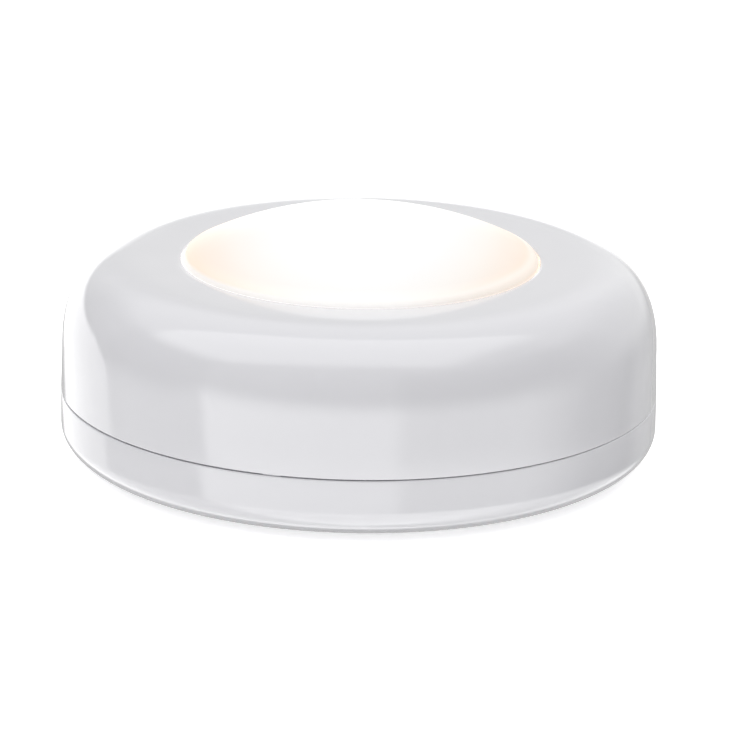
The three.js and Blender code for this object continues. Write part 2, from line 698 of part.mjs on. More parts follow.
// A tube of round section along a list of points, with flat ends square to it.
function tube(points, radius, sides) {
  const ringPositions = [];
  let normal = new THREE.Vector3(0, 0, 1);
  points.forEach((point, i) => {
    const ahead = points[Math.min(i + 1, points.length - 1)];
    const behind = points[Math.max(i - 1, 0)];
    const along = ahead.clone().sub(behind).normalize();
    normal = normal.sub(along.clone().multiplyScalar(normal.dot(along))).normalize();
    const side = along.clone().cross(normal);
    for (let k = 0; k < sides; k++) {
      const angle = (2 * Math.PI * k) / sides;
      const rim = normal.clone().multiplyScalar(Math.cos(angle)).addScaledVector(side, Math.sin(angle));
      ringPositions.push(...point.clone().addScaledVector(rim, radius).toArray());
    }
  });
  const last = (points.length - 1) * sides;
  const centres = points.length * sides;
  const positions = [...ringPositions, ...points[0].toArray(), ...points.at(-1).toArray()];
  const index = [];
  for (let k = 0; k < sides; k++) {
    const next = (k + 1) % sides;
    for (let i = 0; i < points.length - 1; i++) {
      const a = i * sides;
      index.push(a + k, a + next, a + sides + k, a + next, a + sides + next, a + sides + k);
    }
    index.push(centres, next, k, centres + 1, last + k, last + next);
  }
  const geometry = new THREE.BufferGeometry();
  geometry.setAttribute("position", new THREE.BufferAttribute(new Float32Array(positions), 3));
  geometry.setIndex(index);
  return solid(geometry);
}

// The least gap between a coil and itself, measured between points more than half a turn apart.
function leastCoilGap(points) {
  const apart = springStepsPerTurn / 2;
  let least = Infinity;
  points.forEach((a, i) => {
    for (let j = i + apart + 1; j < points.length; j++) least = Math.min(least, a.distanceTo(points[j]));
  });
  return least - springWire;
}

// Springs: conical coils between a contact plate and a cell's flat end, their ends running straight along X.
function makeSprings() {
  const springCells = [
    { name: "spring_left_front", side: -1, cell: 0 },
    { name: "spring_right", side: 1, cell: 1 },
    { name: "spring_left_back", side: -1, cell: 2 },
  ];
  springCells.forEach(({ name, side, cell }) => {
    const steps = springTurns * springStepsPerTurn;
    const coilLength = springFreeLength - 2 * springWire;
    const points = Array.from({ length: steps + 1 }, (_, i) => {
      const share = i / steps;
      const angle = 2 * Math.PI * springTurns * share;
      const radius = springBaseRadius + (springTipRadius - springBaseRadius) * share;
      const reach = contactFaceX - springWire - coilLength * share;
      const across = radius * Math.cos(angle);
      const up = side * radius * Math.sin(angle);
      return new THREE.Vector3(side * reach, cellPlaces[cell] + across, cellAxisZ + up);
    });
    const start = points[0].clone().setX(side * contactFaceX);
    const end = points.at(-1).clone().setX(side * (contactFaceX - springFreeLength));
    console.log(name + ": least gap in the coil " + leastCoilGap(points).toFixed(2) + " mm");
    addPiece(head, name, tube([start, ...points, end], springWire / 2, springSides), nickel);
  });
}

// Contact plates, two with a tab that comes up through the deck.
function makeContacts() {
  contacts.forEach((contact) => addPiece(head, contact.name, contactPlate(contact, 0), nickel));
}

// A pan-head screw with a cross recess, its head above the seat at height 0 and its shank below.
function screw(headRadius, headHeight, shankRadius, length) {
  const cap = rod(headRadius, 0, headHeight);
  const shank = rod(shankRadius, -length, headHeight / 2);
  const halfLength = headRadius * recessLengthShare;
  const halfWidth = headRadius * recessWidthShare;
  const lowZ = headHeight * (1 - recessDepthShare);
  const slot = block(-halfLength, halfLength, -halfWidth, halfWidth, lowZ, headHeight + cutOverrun);
  return cut(cap.add(shank), [slot, slot.rotate([0, 0, 90])]);
}

// Screws: four up through the deck into the housing, two down through the board into the chassis.
function makeScrews() {
  const chassisScrew = screw(screwHeadRadius, screwHeadHeight, screwShankRadius, screwLength);
  bossPlaces.forEach(([x, y], i) => {
    const placed = addPiece(head, "chassis_screw_" + (i + 1), chassisScrew, zincSteel);
    placed.position.set(x, y, deckBottomZ);
    placed.rotation.x = Math.PI;
  });
  const boardScrewHead = [boardScrewHeadRadius, boardScrewHeadHeight];
  const boardScrew = screw(...boardScrewHead, boardScrewShankRadius, boardScrewLength);
  boardScrewPlaces.forEach(([x, y], i) => {
    addPiece(head, "board_screw_" + (i + 1), boardScrew, zincSteel).position.set(x, y, boardTopZ);
  });
}

// Wires: from each tab over the board's edge and down to its land.
function makeWires() {
  const section = new THREE.Shape();
  section.absarc(0, 0, wireRadius, 0, 2 * Math.PI, false);
  contacts.filter(({ tab }) => tab).forEach(({ side, cells }) => {
    const y = cellPlaces[cells[0]];
    const startZ = deckTopZ + contactTabRise - wireRadius;
    const start = new THREE.Vector3(side * contactFaceX, y, startZ);
    const flat = new THREE.Vector2(start.x, start.y).setLength(landRadius);
    const end = new THREE.Vector3(flat.x, flat.y, boardTopZ);
    const straight = 2 * wireRadius;
    const leaving = start.clone().setX(side * (contactFaceX - straight));
    const turning = start.clone().setX(side * (contactFaceX - straight - wireReach));
    const landing = end.clone().setZ(boardTopZ + straight);
    const dropping = end.clone().setZ(boardTopZ + straight + wireReach);
    const path = new THREE.CurvePath();
    path.add(new THREE.LineCurve3(start, leaving));
    path.add(new THREE.CubicBezierCurve3(leaving, turning, dropping, landing));
    path.add(new THREE.LineCurve3(landing, end));
    const options = { steps: wireSteps, extrudePath: path, curveSegments: wireSides / 2 };
    const [name, finish] = side > 0 ? ["wire_red", wireRed] : ["wire_black", wireBlack];
    addPiece(head, name, solid(new THREE.ExtrudeGeometry(section, options)), finish);
  });
}

makeBase();
makePad();
makeHousing();
makeLens();
makeChassis();
makeBoard();
makeLeds();
makeResistors();
makeSwitch();
makeCells();
makeSprings();
makeContacts();
makeScrews();
makeWires();

export default root;
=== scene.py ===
"""Battery cabinet light: the finished look of every piece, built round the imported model.
Lengths are in metres, and named angles in degrees."""

import math

import bpy
import numpy as np
from mathutils import Matrix, Vector


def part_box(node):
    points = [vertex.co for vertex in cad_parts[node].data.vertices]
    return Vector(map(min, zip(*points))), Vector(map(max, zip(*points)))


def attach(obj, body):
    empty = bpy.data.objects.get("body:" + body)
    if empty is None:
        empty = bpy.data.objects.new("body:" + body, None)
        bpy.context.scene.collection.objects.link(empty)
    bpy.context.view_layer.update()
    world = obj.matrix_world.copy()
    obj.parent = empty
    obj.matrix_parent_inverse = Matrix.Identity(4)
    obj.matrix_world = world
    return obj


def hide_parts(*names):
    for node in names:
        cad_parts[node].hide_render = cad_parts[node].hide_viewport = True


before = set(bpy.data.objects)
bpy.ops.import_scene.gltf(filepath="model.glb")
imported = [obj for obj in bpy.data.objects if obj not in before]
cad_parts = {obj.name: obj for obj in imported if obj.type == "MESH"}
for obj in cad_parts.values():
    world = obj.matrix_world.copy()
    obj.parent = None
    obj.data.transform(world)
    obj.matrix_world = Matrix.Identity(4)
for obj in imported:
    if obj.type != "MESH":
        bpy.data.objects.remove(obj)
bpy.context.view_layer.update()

MM = 0.001


def low(node):
    """A node's lowest corner at rest."""
    return np.array(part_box(node)[0])


def high(node):
    """A node's highest corner at rest."""
    return np.array(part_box(node)[1])


def middle(node):
    """The middle of a node's box at rest."""
    return (low(node) + high(node)) / 2


# Screws
CHASSIS_SCREW = {"head_r": 2.1 * MM, "head_height": 1.2 * MM, "shank_r": 1.05 * MM, "length": 5.2 * MM,
                 "pitch": 0.85 * MM}
BOARD_SCREW = {"head_r": 1.5 * MM, "head_height": 0.9 * MM, "shank_r": 0.75 * MM, "length": 3.2 * MM,
               "pitch": 0.6 * MM}
HEAD_EDGE = 0.12 * MM
HEAD_FLAT_SHARE = 0.62
HEAD_SIDE_SHARE = 0.42
THREAD_DEPTH_SHARE = 0.26
THREAD_RIDGE_SHARE = 0.3
THREAD_STEPS = 10
POINT_SHARE = 0.35
POINT_TURNS = 1.5
RECESS_LENGTH_SHARE = 1.1
RECESS_WIDTH_SHARE = 0.3
RECESS_DEPTH_SHARE = 0.6
RECESS_OVERRUN_SHARE = 1.5
RECESS_CORNER_SHARE = 0.3
RECESS_EDGE_SHARE = 0.2
FIRST_SCREW_TURN = 25
NEXT_SCREW_TURN = 40

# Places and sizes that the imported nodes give
BODY_R = high("housing")[0]
CREST_Z = high("housing")[2]
DECK_THICKNESS = 1.0 * MM
DECK_FOOT_Z = high("chassis_screw_1")[2] - CHASSIS_SCREW["length"]
DECK_TOP_Z = DECK_FOOT_Z + DECK_THICKNESS
LIP_TOP_Z = high("base")[2]
PAD_R = high("adhesive_pad")[0]
PAD_TOP_Z = high("adhesive_pad")[2]
BOARD_TOP_Z = high("led_board")[2]
LENS_TOP_Z = high("lens")[2]
LENS_FOOT_Z = low("lens")[2]
PLUNGER_TOP_Z = high("switch_plunger")[2]
PLUNGER_FOOT_Z = low("switch_plunger")[2]

# What repeats
CELLS = [f"cell_{i}" for i in (1, 2, 3)]
CHASSIS_SCREWS = [f"chassis_screw_{i}" for i in (1, 2, 3, 4)]
BOARD_SCREWS = [f"board_screw_{i}" for i in (1, 2)]
SCREW_PLACES = [middle(n)[:2] for n in CHASSIS_SCREWS]
LED_COUNT = 6
WIRES = [("wire_red", 1), ("wire_black", -1)]
SPRINGS = [("spring_left_front", "cell_1", -1), ("spring_right", "cell_2", 1),
           ("spring_left_back", "cell_3", -1)]

# Facets and curve steps
TURN_STEPS = 192
SMALL_TURN_STEPS = 48
SHOULDER_STEPS = 44
DISH_STEPS = 12
FOOT_STEPS = 28
LENS_STEPS = 40
LENS_UNDER_STEPS = 14
SECTOR_STEPS = 12
ARC_STEPS = 8
CORNER_STEPS = 3
BEVEL_STEPS = 4
ROD_SIDES = 16
THIN_ROD_SIDES = 12
BLOB_STEPS = 32
CONE_STEPS = 24
LAND_STEPS = 40
CREASE_ANGLE = 32

# Shell walls, seam and edges
SHELL_WALL = 1.6 * MM
SHELL_R = BODY_R - SHELL_WALL
EDGE_BEVEL = 0.13 * MM
FIT = 0.05 * MM
EDGE_BAND = 1.5 * EDGE_BEVEL
LIP_HEIGHT = 1.0 * MM
LIP_WALL = 0.7 * MM
LIP_GAP = 0.2 * MM
LIP_R = SHELL_R + LIP_WALL
REBATE_R = LIP_R + LIP_GAP
BASE_TOP_Z = LIP_TOP_Z - LIP_HEIGHT
SEAM_GAP = 0.35 * MM
SEAM_TOP_Z = BASE_TOP_Z + SEAM_GAP
SPACER_COUNT = 3
SPACER_WIDTH = 1.8 * MM
SPACER_DROP = 0.2 * MM
SPACER_ANGLE = 254.1
SPACER_INSET = 0.02 * MM
SPACER_EDGE = 0.04 * MM
SEAM_DROP_LEFT = 0.22 * MM
SEAM_DROP_RIGHT = 0.31 * MM
SEAM_DROP_POWER = 2.5
SEAM_LEAST_GAP = 0.03 * MM
SEAM_SIDE_RISE = 0.10 * MM
SEAM_FRONT_SAG = 0.18 * MM
SEAM_LEAN = 0.02 * MM

# Base
FLOOR_THICKNESS = 1.8 * MM
EDGE_WIDTH = 5.5 * MM
EDGE_HEIGHT = 3.5 * MM
PAD_GAP = 0.3 * MM
PAD_BULGE = 0.12 * MM

# Housing
SHOULDER_HEIGHT = 9.2 * MM
SHOULDER_POWER = 2.47
SHOULDER_FOOT_Z = CREST_Z - SHOULDER_HEIGHT
CREST_R = 22.5 * MM
WALL_DRAFT = 0.12 * MM
DISH_DEPTH = 0.05 * MM
DISH_POWER = 1.4
HOLE_R = 17.98 * MM
HOLE_EDGE_ROUND = 0.14 * MM
HOLE_EDGE_START = 98
HOLE_EDGE_Z = CREST_Z - DISH_DEPTH
HOOK_THICKNESS = 1.0 * MM
COLLAR_WALL = 1.2 * MM
COLLAR_R = HOLE_R + COLLAR_WALL
COLLAR_FOOT_Z = LENS_FOOT_Z + HOOK_THICKNESS
ROOT_GAP = 0.4 * MM
ROOT_THICKNESS = 1.5 * MM
ROOT_FOOT_Z = LIP_TOP_Z + ROOT_GAP
ROOT_TOP_Z = ROOT_FOOT_Z + ROOT_THICKNESS
BOSS_R = 2.3 * MM
BOSS_HOLE_R = 1.25 * MM
BOSS_HOLE_DEPTH = 4.6 * MM
BOSS_RING_SHARE = 0.5

# Bayonet
LUG_ANGLES = [9, 99, 189, 279]
LUG_HALF = 5.5
TONGUE_MARGIN = 1.0
LEDGE_MARGIN = 0.5
TONGUE_HALF = LUG_HALF + TONGUE_MARGIN
LEDGE_HALF = LUG_HALF + LEDGE_MARGIN
TONGUE_FOOT_Z = low("housing")[2]
LUG_THICKNESS = 1.0 * MM
LUG_GAP = 0.3 * MM
LEDGE_REACH = 1.2 * MM
LEDGE_THICKNESS = 1.0 * MM
LEDGE_R = SHELL_R - LEDGE_REACH
LEDGE_FOOT_Z = TONGUE_FOOT_Z + LUG_THICKNESS + LUG_GAP
LEDGE_TOP_Z = LEDGE_FOOT_Z + LEDGE_THICKNESS
TONGUE_THICKNESS = 1.0 * MM
TONGUE_OUTER_R = LEDGE_R - LUG_GAP
TONGUE_INNER_R = TONGUE_OUTER_R - TONGUE_THICKNESS
STOP_GAP = 0.4
STOP_ANGLE = 1.8
STOP_DEPTH = 2.7 * MM
MOULD_EDGE = 0.12 * MM

# Lens
LENS_R = 17.85 * MM
LENS_WALL = 1.6 * MM
SKIRT_WALL = 1.3 * MM
LENS_RISE = 4.4 * MM
LENS_RIM_Z = LENS_TOP_Z - LENS_RISE
LENS_EDGE_ROUND = 1.1 * MM
POST_R = 2.4 * MM
HOOK_R = high("lens")[0]
HOOK_ANGLES = [0, 120, 240]
HOOK_HALF = 11
LENS_SPHERE_R = (LENS_R**2 + LENS_RISE**2) / (2 * LENS_RISE)
LENS_SPHERE_Z = LENS_TOP_Z - LENS_SPHERE_R

# The lens's glow: how strong it is, how much the way across counts in its colour, and where it changes
# The rim's stronger glow is partly a painted highlight of the rounded rim catching light.
DOME_GLOW, RIM_GLOW_AND_PAINTED_HIGHLIGHT, SKIRT_GLOW = 0.205, 0.33, 0.75
ACROSS_SHARE = 0.35
RIM_BELOW, RIM_ABOVE = 0.3 * MM, 0.9 * MM
RIM_TINT_BELOW, RIM_TINT_ABOVE = 0.1 * MM, 0.25 * MM
RIM_TINT_RISE = 0.45 * MM
RIM_RISE_START_SHARE, RIM_RISE_END_SHARE = 0.2, 0.8
SKIRT_FADE = 0.8 * MM

# Cells, measured from the negative end
CELL_R = (high("cell_1")[2] - low("cell_1")[2]) / 2
CELL_LENGTH = high("cell_1")[0] - low("cell_1")[0]
CELL_EDGE = 0.5 * MM
CAN_DISH_R = 3.3 * MM
CAN_DISH_RIM_R = 3.6 * MM
CAN_DISH_DEPTH = 0.3 * MM
GROOVE_R = 3.1 * MM
GROOVE_RIM_R = 3.4 * MM
GROOVE_DEPTH = 0.25 * MM
NUB_R = 1.9 * MM
NUB_LENGTH = 1.0 * MM
NUB_EDGE = 0.3 * MM
NUB_ROOT_WIDTH = 0.3 * MM
NUB_ROOT_HEIGHT = 0.2 * MM
FILM = 0.06 * MM
FILM_END_R = 4.1 * MM
AXIS_Z = middle("cell_1")[2]
CONTACT_X = high("cell_1")[0]

# Springs
SPRING_WIRE_R = 0.25 * MM
SPRING_BASE_R = 2.3 * MM
SPRING_TIP_R = 1.2 * MM
SPRING_LENGTH = high("spring_right")[0] - low("spring_right")[0]
SPRING_FLAT_TURNS = 0.8
SPRING_TURNS = 2
SPRING_STEPS = 220

# Wires
WIRE_R = 0.5 * MM
CONDUCTOR_R = 0.24 * MM
WIRE_STRAIGHT = 1.0 * MM
WIRE_REACH = 1.5 * MM
WIRE_STEPS = 40
SOLDER_R = 0.85 * MM
SOLDER_HEIGHT = 0.5 * MM

# Board and what it carries
LED_LENGTH, LED_WIDTH, LED_HEIGHT = 3.5 * MM, 2.8 * MM, 0.8 * MM
LED_CIRCLE_R = high("led_1")[0] - LED_LENGTH / 2
LED_RING_HALF, LED_RING_BORDER = 2.0 * MM, 0.1 * MM
LED_WELL_R = 1.1 * MM
LED_WELL_FLOOR_R = 0.9 * MM
LED_WELL_DEPTH = 0.35 * MM
LED_CORNER = 0.25 * MM
LED_EDGE = 0.08 * MM
LED_END_STEP = 0.05 * MM
GEL_GAP = 0.02 * MM
GEL_DROP = 0.06 * MM
GEL_SAG = 0.05 * MM
GEL_RING_SAG = 0.04 * MM
GEL_RING_SHARE = 0.6
TERMINAL_LENGTH, TERMINAL_WIDTH, TERMINAL_HEIGHT = 0.6 * MM, 2.2 * MM, 0.3 * MM
TERMINAL_CORNER = 0.08 * MM
TERMINAL_EDGE = 0.03 * MM
LAND_LENGTH, LAND_WIDTH, LAND_HEIGHT = 1.0 * MM, 2.4 * MM, 0.035 * MM
LAND_MARGIN = 0.35 * MM
LAND_CORNER = 0.2 * MM
LAND_EDGE = 0.01 * MM
WIRE_LAND_R = 1.15 * MM
RESISTOR_LENGTH, RESISTOR_WIDTH, RESISTOR_HEIGHT = 3.2 * MM, 1.6 * MM, 0.6 * MM
RESISTOR_END = 0.5 * MM
RESISTOR_END_CORNER = 0.1 * MM
RESISTOR_END_EDGE = 0.05 * MM
RESISTOR_Y = high("resistor_2")[1] - RESISTOR_WIDTH / 2
CHIP_SIDE_STEP = 0.03 * MM
CHIP_TOP_STEP = 0.02 * MM
CHIP_FOOT_STEP = 0.05 * MM
CHIP_CORNER = 0.08 * MM
CHIP_EDGE = 0.04 * MM

# Switch
SWITCH_WIDTH = high("switch_body")[0] * 2
SWITCH_TOP_Z = high("switch_body")[2]
SWITCH_CORNER = 0.4 * MM
SWITCH_EDGE = 0.12 * MM
SWITCH_WELL_EDGE = 0.15 * MM
SWITCH_WELL_ROOM = 1.4 * MM
PIN_PLACES = [(x * MM, y * MM) for x in (-2.2, 2.2) for y in (-2, 0, 2)]
PIN_WIDTH = 0.5 * MM
PIN_THICKNESS = 0.3 * MM
PIN_CORNER = 0.06 * MM
PIN_EDGE = 0.05 * MM
PIN_FOOT_Z = low("switch_body")[2]
CONE_TIP_R, CONE_WAIST_R, CONE_FOOT_R = 0.28 * MM, 0.42 * MM, 0.75 * MM
CONE_TIP_STEP = 0.1 * MM
CONE_TIP_EDGE_STEP = 0.15 * MM
CONE_WAIST_DROP = 0.2 * MM
BOARD_FOOT_Z = low("led_board")[2]
PLUNGER_R = high("switch_plunger")[0]
PLUNGER_NECK_R = 1.1 * MM
PLUNGER_CAP = 1.2 * MM
PLUNGER_EDGE = 0.15 * MM
PLUNGER_GAP = 0.2 * MM

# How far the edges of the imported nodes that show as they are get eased
CHASSIS_BEVEL, BOARD_BEVEL, CONTACT_BEVEL = 0.12 * MM, 0.05 * MM, 0.08 * MM

# The range that noise mostly keeps to
NOISE_LOW, NOISE_HIGH = 0.3, 0.7

# Turns that lay a piece made about the Z axis
ALONG_X = np.array([(0, 0, 1), (0, 1, 0), (-1, 0, 0)])
AGAINST_X = np.array([(0, 0, -1), (0, 1, 0), (1, 0, 0)])
UPSIDE_DOWN = np.diag([1, -1, -1])

# Camera
CAMERA_ELEVATION = 16.61
CAMERA_ROLL = 0.85
CAMERA_DISTANCE = 0.5
CAMERA_LENS = 238.6
CAMERA_TARGET_Z = 12.5 * MM
AIM_RIGHT = 1.54 * MM
AIM_BELOW = 4.30 * MM


def skin(grid, ring=False, ends=None):
    """Closes a grid of points, rows by columns, into a surface. Columns wrap round. Rows wrap round too in
    a ring, and otherwise a fan closes each end row on its middle, or on the points in ends."""
    rows, cols = grid.shape[:2]
    points = grid.reshape(-1, 3)
    row, col = np.meshgrid(np.arange(rows if ring else rows - 1), np.arange(cols), indexing="ij")
    above, beside = (row + 1) % rows, (col + 1) % cols
    corners = [row * cols + col, row * cols + beside, above * cols + beside, above * cols + col]
    quads = np.stack(corners, -1).reshape(-1, 4)
    if ring:
        return points, quads, np.zeros((0, 3), int)
    if ends is None:
        ends = (grid[0].mean(0), grid[-1].mean(0))
    col = np.arange(cols)
    beside = (col + 1) % cols
    foot = np.full(cols, len(points))
    top = (rows - 1) * cols
    fans = [np.stack([foot, beside, col], 1), np.stack([foot + 1, top + col, top + beside], 1)]
    return np.vstack([points, ends]), quads, np.vstack(fans)


def turned(outline, steps=TURN_STEPS):
    """A solid of revolution about Z. The outline lists (radius, height) anticlockwise, and each point goes
    to (radius cos a, radius sin a, height). It starts and ends on the axis, or closes up as a ring."""
    outline = np.array(outline, float)
    on_axis = outline[0, 0] == 0
    rings = outline[1:-1] if on_axis else outline
    angle = np.arange(steps) * 2 * np.pi / steps
    radius, height = rings[:, :1], rings[:, 1:]
    grid = np.stack([radius * np.cos(angle), radius * np.sin(angle), height + 0 * angle], -1)
    poles = [(0, 0, outline[0, 1]), (0, 0, outline[-1, 1])]
    return skin(grid, ring=not on_axis, ends=poles)


def sector(outline, start, end, steps=SECTOR_STEPS):
    """A stretch of a ring: an anticlockwise outline of (radius, height) goes round Z from one angle to
    another, each point to (radius cos a, radius sin a, height)."""
    outline = np.array(outline, float)[::-1]
    angle = np.radians(np.linspace(start, end, steps + 1))[:, None]
    radius, height = outline[:, 0], outline[:, 1]
    return skin(np.stack([radius * np.cos(angle), radius * np.sin(angle), height + 0 * angle], -1))


def arc(centre_r, centre_z, radius_r, radius_z, start, end, steps=ARC_STEPS):
    """Outline points on an elliptical arc: centre + radii * (cos a, sin a), with a in degrees."""
    a = np.radians(np.linspace(start, end, steps + 1))
    return np.stack([centre_r + radius_r * np.cos(a), centre_z + radius_z * np.sin(a)], 1)


def rounded_box_outline(inner_r, outer_r, foot_z, top_z, radius):
    """An anticlockwise rectangle in radius and height, with each corner a quarter circle."""
    lo_r, hi_r, lo_z, hi_z = inner_r + radius, outer_r - radius, foot_z + radius, top_z - radius
    corners = [(hi_r, lo_z, -90), (hi_r, hi_z, 0), (lo_r, hi_z, 90), (lo_r, lo_z, 180)]
    return np.vstack([arc(r, z, radius, radius, a, a + 90, CORNER_STEPS) for r, z, a in corners])


def slab_outline(width, depth, corner, inset):
    """A rectangle with round corners, drawn in by an inset, anticlockwise."""
    half_x, half_y = width / 2 - corner, depth / 2 - corner
    corners = [(half_x, half_y, 0), (-half_x, half_y, 90), (-half_x, -half_y, 180), (half_x, -half_y, 270)]
    radius = corner - inset
    return np.vstack([arc(x, y, radius, radius, a, a + 90, BEVEL_STEPS) for x, y, a in corners])


def slab(width, depth, foot_z, top_z, corner, bevel, well=()):
    """An upright block about the Z axis with round corners and bevelled edges. A well in its top is given
    as the radius and height of each of its rings. A ring's points are radius * the outline's directions."""
    rings = [(bevel, foot_z), (0, foot_z + bevel), (0, top_z - bevel), (bevel, top_z)]
    rows = [(slab_outline(width, depth, corner, inset), z) for inset, z in rings]
    out = rows[0][0] / np.linalg.norm(rows[0][0], axis=1)[:, None]
    rows += [(out * radius, z) for radius, z in well]
    return skin(np.stack([np.insert(flat, 2, z, axis=1) for flat, z in rows]))


def tube(path, radius, reference, sides=ROD_SIDES):
    """A round rod along a path: point + radius * (cos a * side + sin a * top). The side is square to the
    path and to a reference direction, and the top is square to the path and the side."""
    along = np.gradient(path, axis=0)
    along /= np.linalg.norm(along, axis=1)[:, None]
    side = np.cross(reference, along)
    side /= np.linalg.norm(side, axis=1)[:, None]
    top = np.cross(along, side)
    angle = (np.arange(sides) * 2 * np.pi / sides)[:, None]
    return skin(path[:, None] + radius * (np.cos(angle) * side[:, None] + np.sin(angle) * top[:, None]))


def about_z(degrees):
    """The matrix of a turn about the Z axis."""
    c, s = math.cos(math.radians(degrees)), math.sin(math.radians(degrees))
    return np.array([(c, -s, 0), (s, c, 0), (0, 0, 1)])


def placed(surface, move, turn=None):
    """A surface turned by a matrix and then moved."""
    points, quads, tris = surface
    if turn is not None:
        points = points @ turn.T
    return points + np.array(move), quads, tris


def joined(parts):
    """Several surfaces as one list of points, quads and triangles."""
    counts = np.cumsum([0] + [len(points) for points, _, _ in parts])
    points = np.vstack([p for p, _, _ in parts])
    quads = np.vstack([q + n for (_, q, _), n in zip(parts, counts)])
    tris = np.vstack([t + n for (_, _, t), n in zip(parts, counts)])
    return points, quads, tris


def new_object(name, surface):
    """A mesh object from a surface, smooth but for the creases that are sharper than the crease angle."""
    points, quads, tris = surface
    mesh = bpy.data.meshes.new(name)
    mesh.from_pydata(points.tolist(), [], quads.tolist() + tris.tolist())
    smooth(mesh)
    made = bpy.data.objects.new(name, mesh)
    bpy.context.scene.collection.objects.link(made)
    return made


def smooth(mesh):
    """Smooth shading that keeps creases."""
    mesh.shade_smooth()
    mesh.set_sharp_from_angle(angle=math.radians(CREASE_ANGLE))
    mesh.update()


def mould(name, surfaces, cutters=()):
    """One moulding: the union of closed surfaces, less the cutters."""
    main, *others = [new_object(f"{name}_{i}", s) for i, s in enumerate([*surfaces, *cutters])]
    main.name = name
    for i, other in enumerate(others):
        step = main.modifiers.new(other.name, "BOOLEAN")
        step.object = other
        step.operation = "UNION" if i + 1 < len(surfaces) else "DIFFERENCE"
        step.solver = "EXACT"
    bpy.context.view_layer.update()
    solid = bpy.data.meshes.new_from_object(main.evaluated_get(bpy.context.evaluated_depsgraph_get()))
    main.modifiers.clear()
    main.data = solid
    smooth(solid)
    for other in others:
        bpy.data.objects.remove(other)
    return main


def seat(piece, body, finish, slot, *nodes):
    """Gives a piece its finish, sets it on its body and lets it stand for its nodes."""
    piece.data.materials.clear()
    piece.data.materials.append(finish)
    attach(piece, body)
    if nodes:
        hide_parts(*nodes)
    return piece


def dress(node, finish, bevel):
    """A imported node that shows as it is, with its edges eased and its finish on."""
    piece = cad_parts[node]
    piece.data.materials.clear()
    piece.data.materials.append(finish)
    edge = piece.modifiers.new("edge", "BEVEL")
    edge.width = bevel
    edge.segments = 2
    edge.limit_method = "ANGLE"
    edge.angle_limit = math.radians(CREASE_ANGLE)
    edge.harden_normals = True
    smooth(piece.data)


class Finish:
    """A node material under construction: its one shader, and short ways to add what feeds it."""

    def __init__(self, name):
        self.material = bpy.data.materials.new(name)
        self.material.use_nodes = True
        self.tree = self.material.node_tree
        self.tree.nodes.clear()
        self.shader = self.add("ShaderNodeBsdfPrincipled")
        output = self.add("ShaderNodeOutputMaterial")
        self.join(self.shader.outputs[0], output.inputs["Surface"])
        self.place = self.add("ShaderNodeTexCoord").outputs["Object"]

    def add(self, kind, **settings):
        """A new node with its settings."""
        made = self.tree.nodes.new(kind)
        for key, value in settings.items():
            setattr(made, key, value)
        return made

    def join(self, source, target):
        """Links an output to an input."""
        self.tree.links.new(source, target)

    def feed(self, made, name, value):
        """Sets an input to a value, or links it to another node's output."""
        if isinstance(value, bpy.types.NodeSocket):
            self.join(value, made.inputs[name])
        else:
            made.inputs[name].default_value = value

    def set(self, **inputs):
        """Sets or links inputs of the shader, with _ for the spaces in their names."""
        for name, value in inputs.items():
            self.feed(self.shader, name.replace("_", " "), value)

    def sum(self, operation, *values):
        """The outcome of a sum on values or other nodes' outputs."""
        made = self.add("ShaderNodeMath", operation=operation)
        for i, value in enumerate(values):
            self.feed(made, i, value)
        return made.outputs[0]

    def noise(self, size, detail=2.0, roughness=0.5, where=None):
        """Noise whose features are about as large as the given length."""
        made = self.add("ShaderNodeTexNoise")
        self.join(where or self.place, made.inputs["Vector"])
        self.feed(made, "Scale", 1 / size)
        self.feed(made, "Detail", detail)
        self.feed(made, "Roughness", roughness)
        return made.outputs["Fac"]

    def spread(self, value, low_in, high_in, low_out, high_out, smooth_steps=False):
        """Maps a value from one range to another."""
        made = self.add("ShaderNodeMapRange")
        made.interpolation_type = "SMOOTHSTEP" if smooth_steps else "LINEAR"
        for i, v in enumerate((value, low_in, high_in, low_out, high_out)):
            self.feed(made, i, v)
        return made.outputs[0]

    def drift(self, size, detail, least, most):
        """A value that drifts between two others, in patches about as large as the given length."""
        return self.spread(self.noise(size, detail), NOISE_LOW, NOISE_HIGH, least, most)

    def tint(self, share, first, second):
        """A colour between two others."""
        made = self.add("ShaderNodeMix", data_type="RGBA")
        for i, value in ((0, share), (6, first), (7, second)):
            self.feed(made, i, (*value, 1) if isinstance(value, tuple) else value)
        return made.outputs[2]

    def ramp(self, value, stops):
        """A colour that follows a value through a list of stops."""
        made = self.add("ShaderNodeValToRGB")
        self.join(value, made.inputs[0])
        elements = made.color_ramp.elements
        elements.remove(elements[1])
        elements[0].position = stops[0][0]
        for position, _ in stops[1:]:
            elements.new(position)
        for element, (_, colour) in zip(elements, stops):
            element.color = (*colour, 1)
        return made.outputs[0]

    def relief(self, height, distance, strength=1.0, under=None):
        """Bump from a height that swings between 0 and 1 over a distance."""
        made = self.add("ShaderNodeBump")
        self.join(height, made.inputs["Height"])
        self.feed(made, "Distance", distance)
        self.feed(made, "Strength", strength)
        if under is not None:
            self.join(under, made.inputs["Normal"])
        return made.outputs["Normal"]


def gloss_white():
    """High-gloss white moulded plastic: a faint flow in the tone, a polished skin and very light waves."""
    f = Finish("gloss_white_plastic")
    flow = f.noise(22 * MM, 2.0)
    f.set(Base_Color=f.tint(flow, (0.700, 0.698, 0.728), (0.724, 0.722, 0.750)))
    f.set(Roughness=f.drift(5 * MM, 3.0, 0.08, 0.13), IOR=1.5)
    f.set(Coat_Weight=1.0, Coat_Roughness=0.03, Coat_IOR=1.5)
    waves = f.relief(f.noise(4 * MM, 1.0), 0.004 * MM)
    f.set(Normal=f.relief(f.noise(0.35 * MM, 2.0), 0.0006 * MM, under=waves))
    return f.material


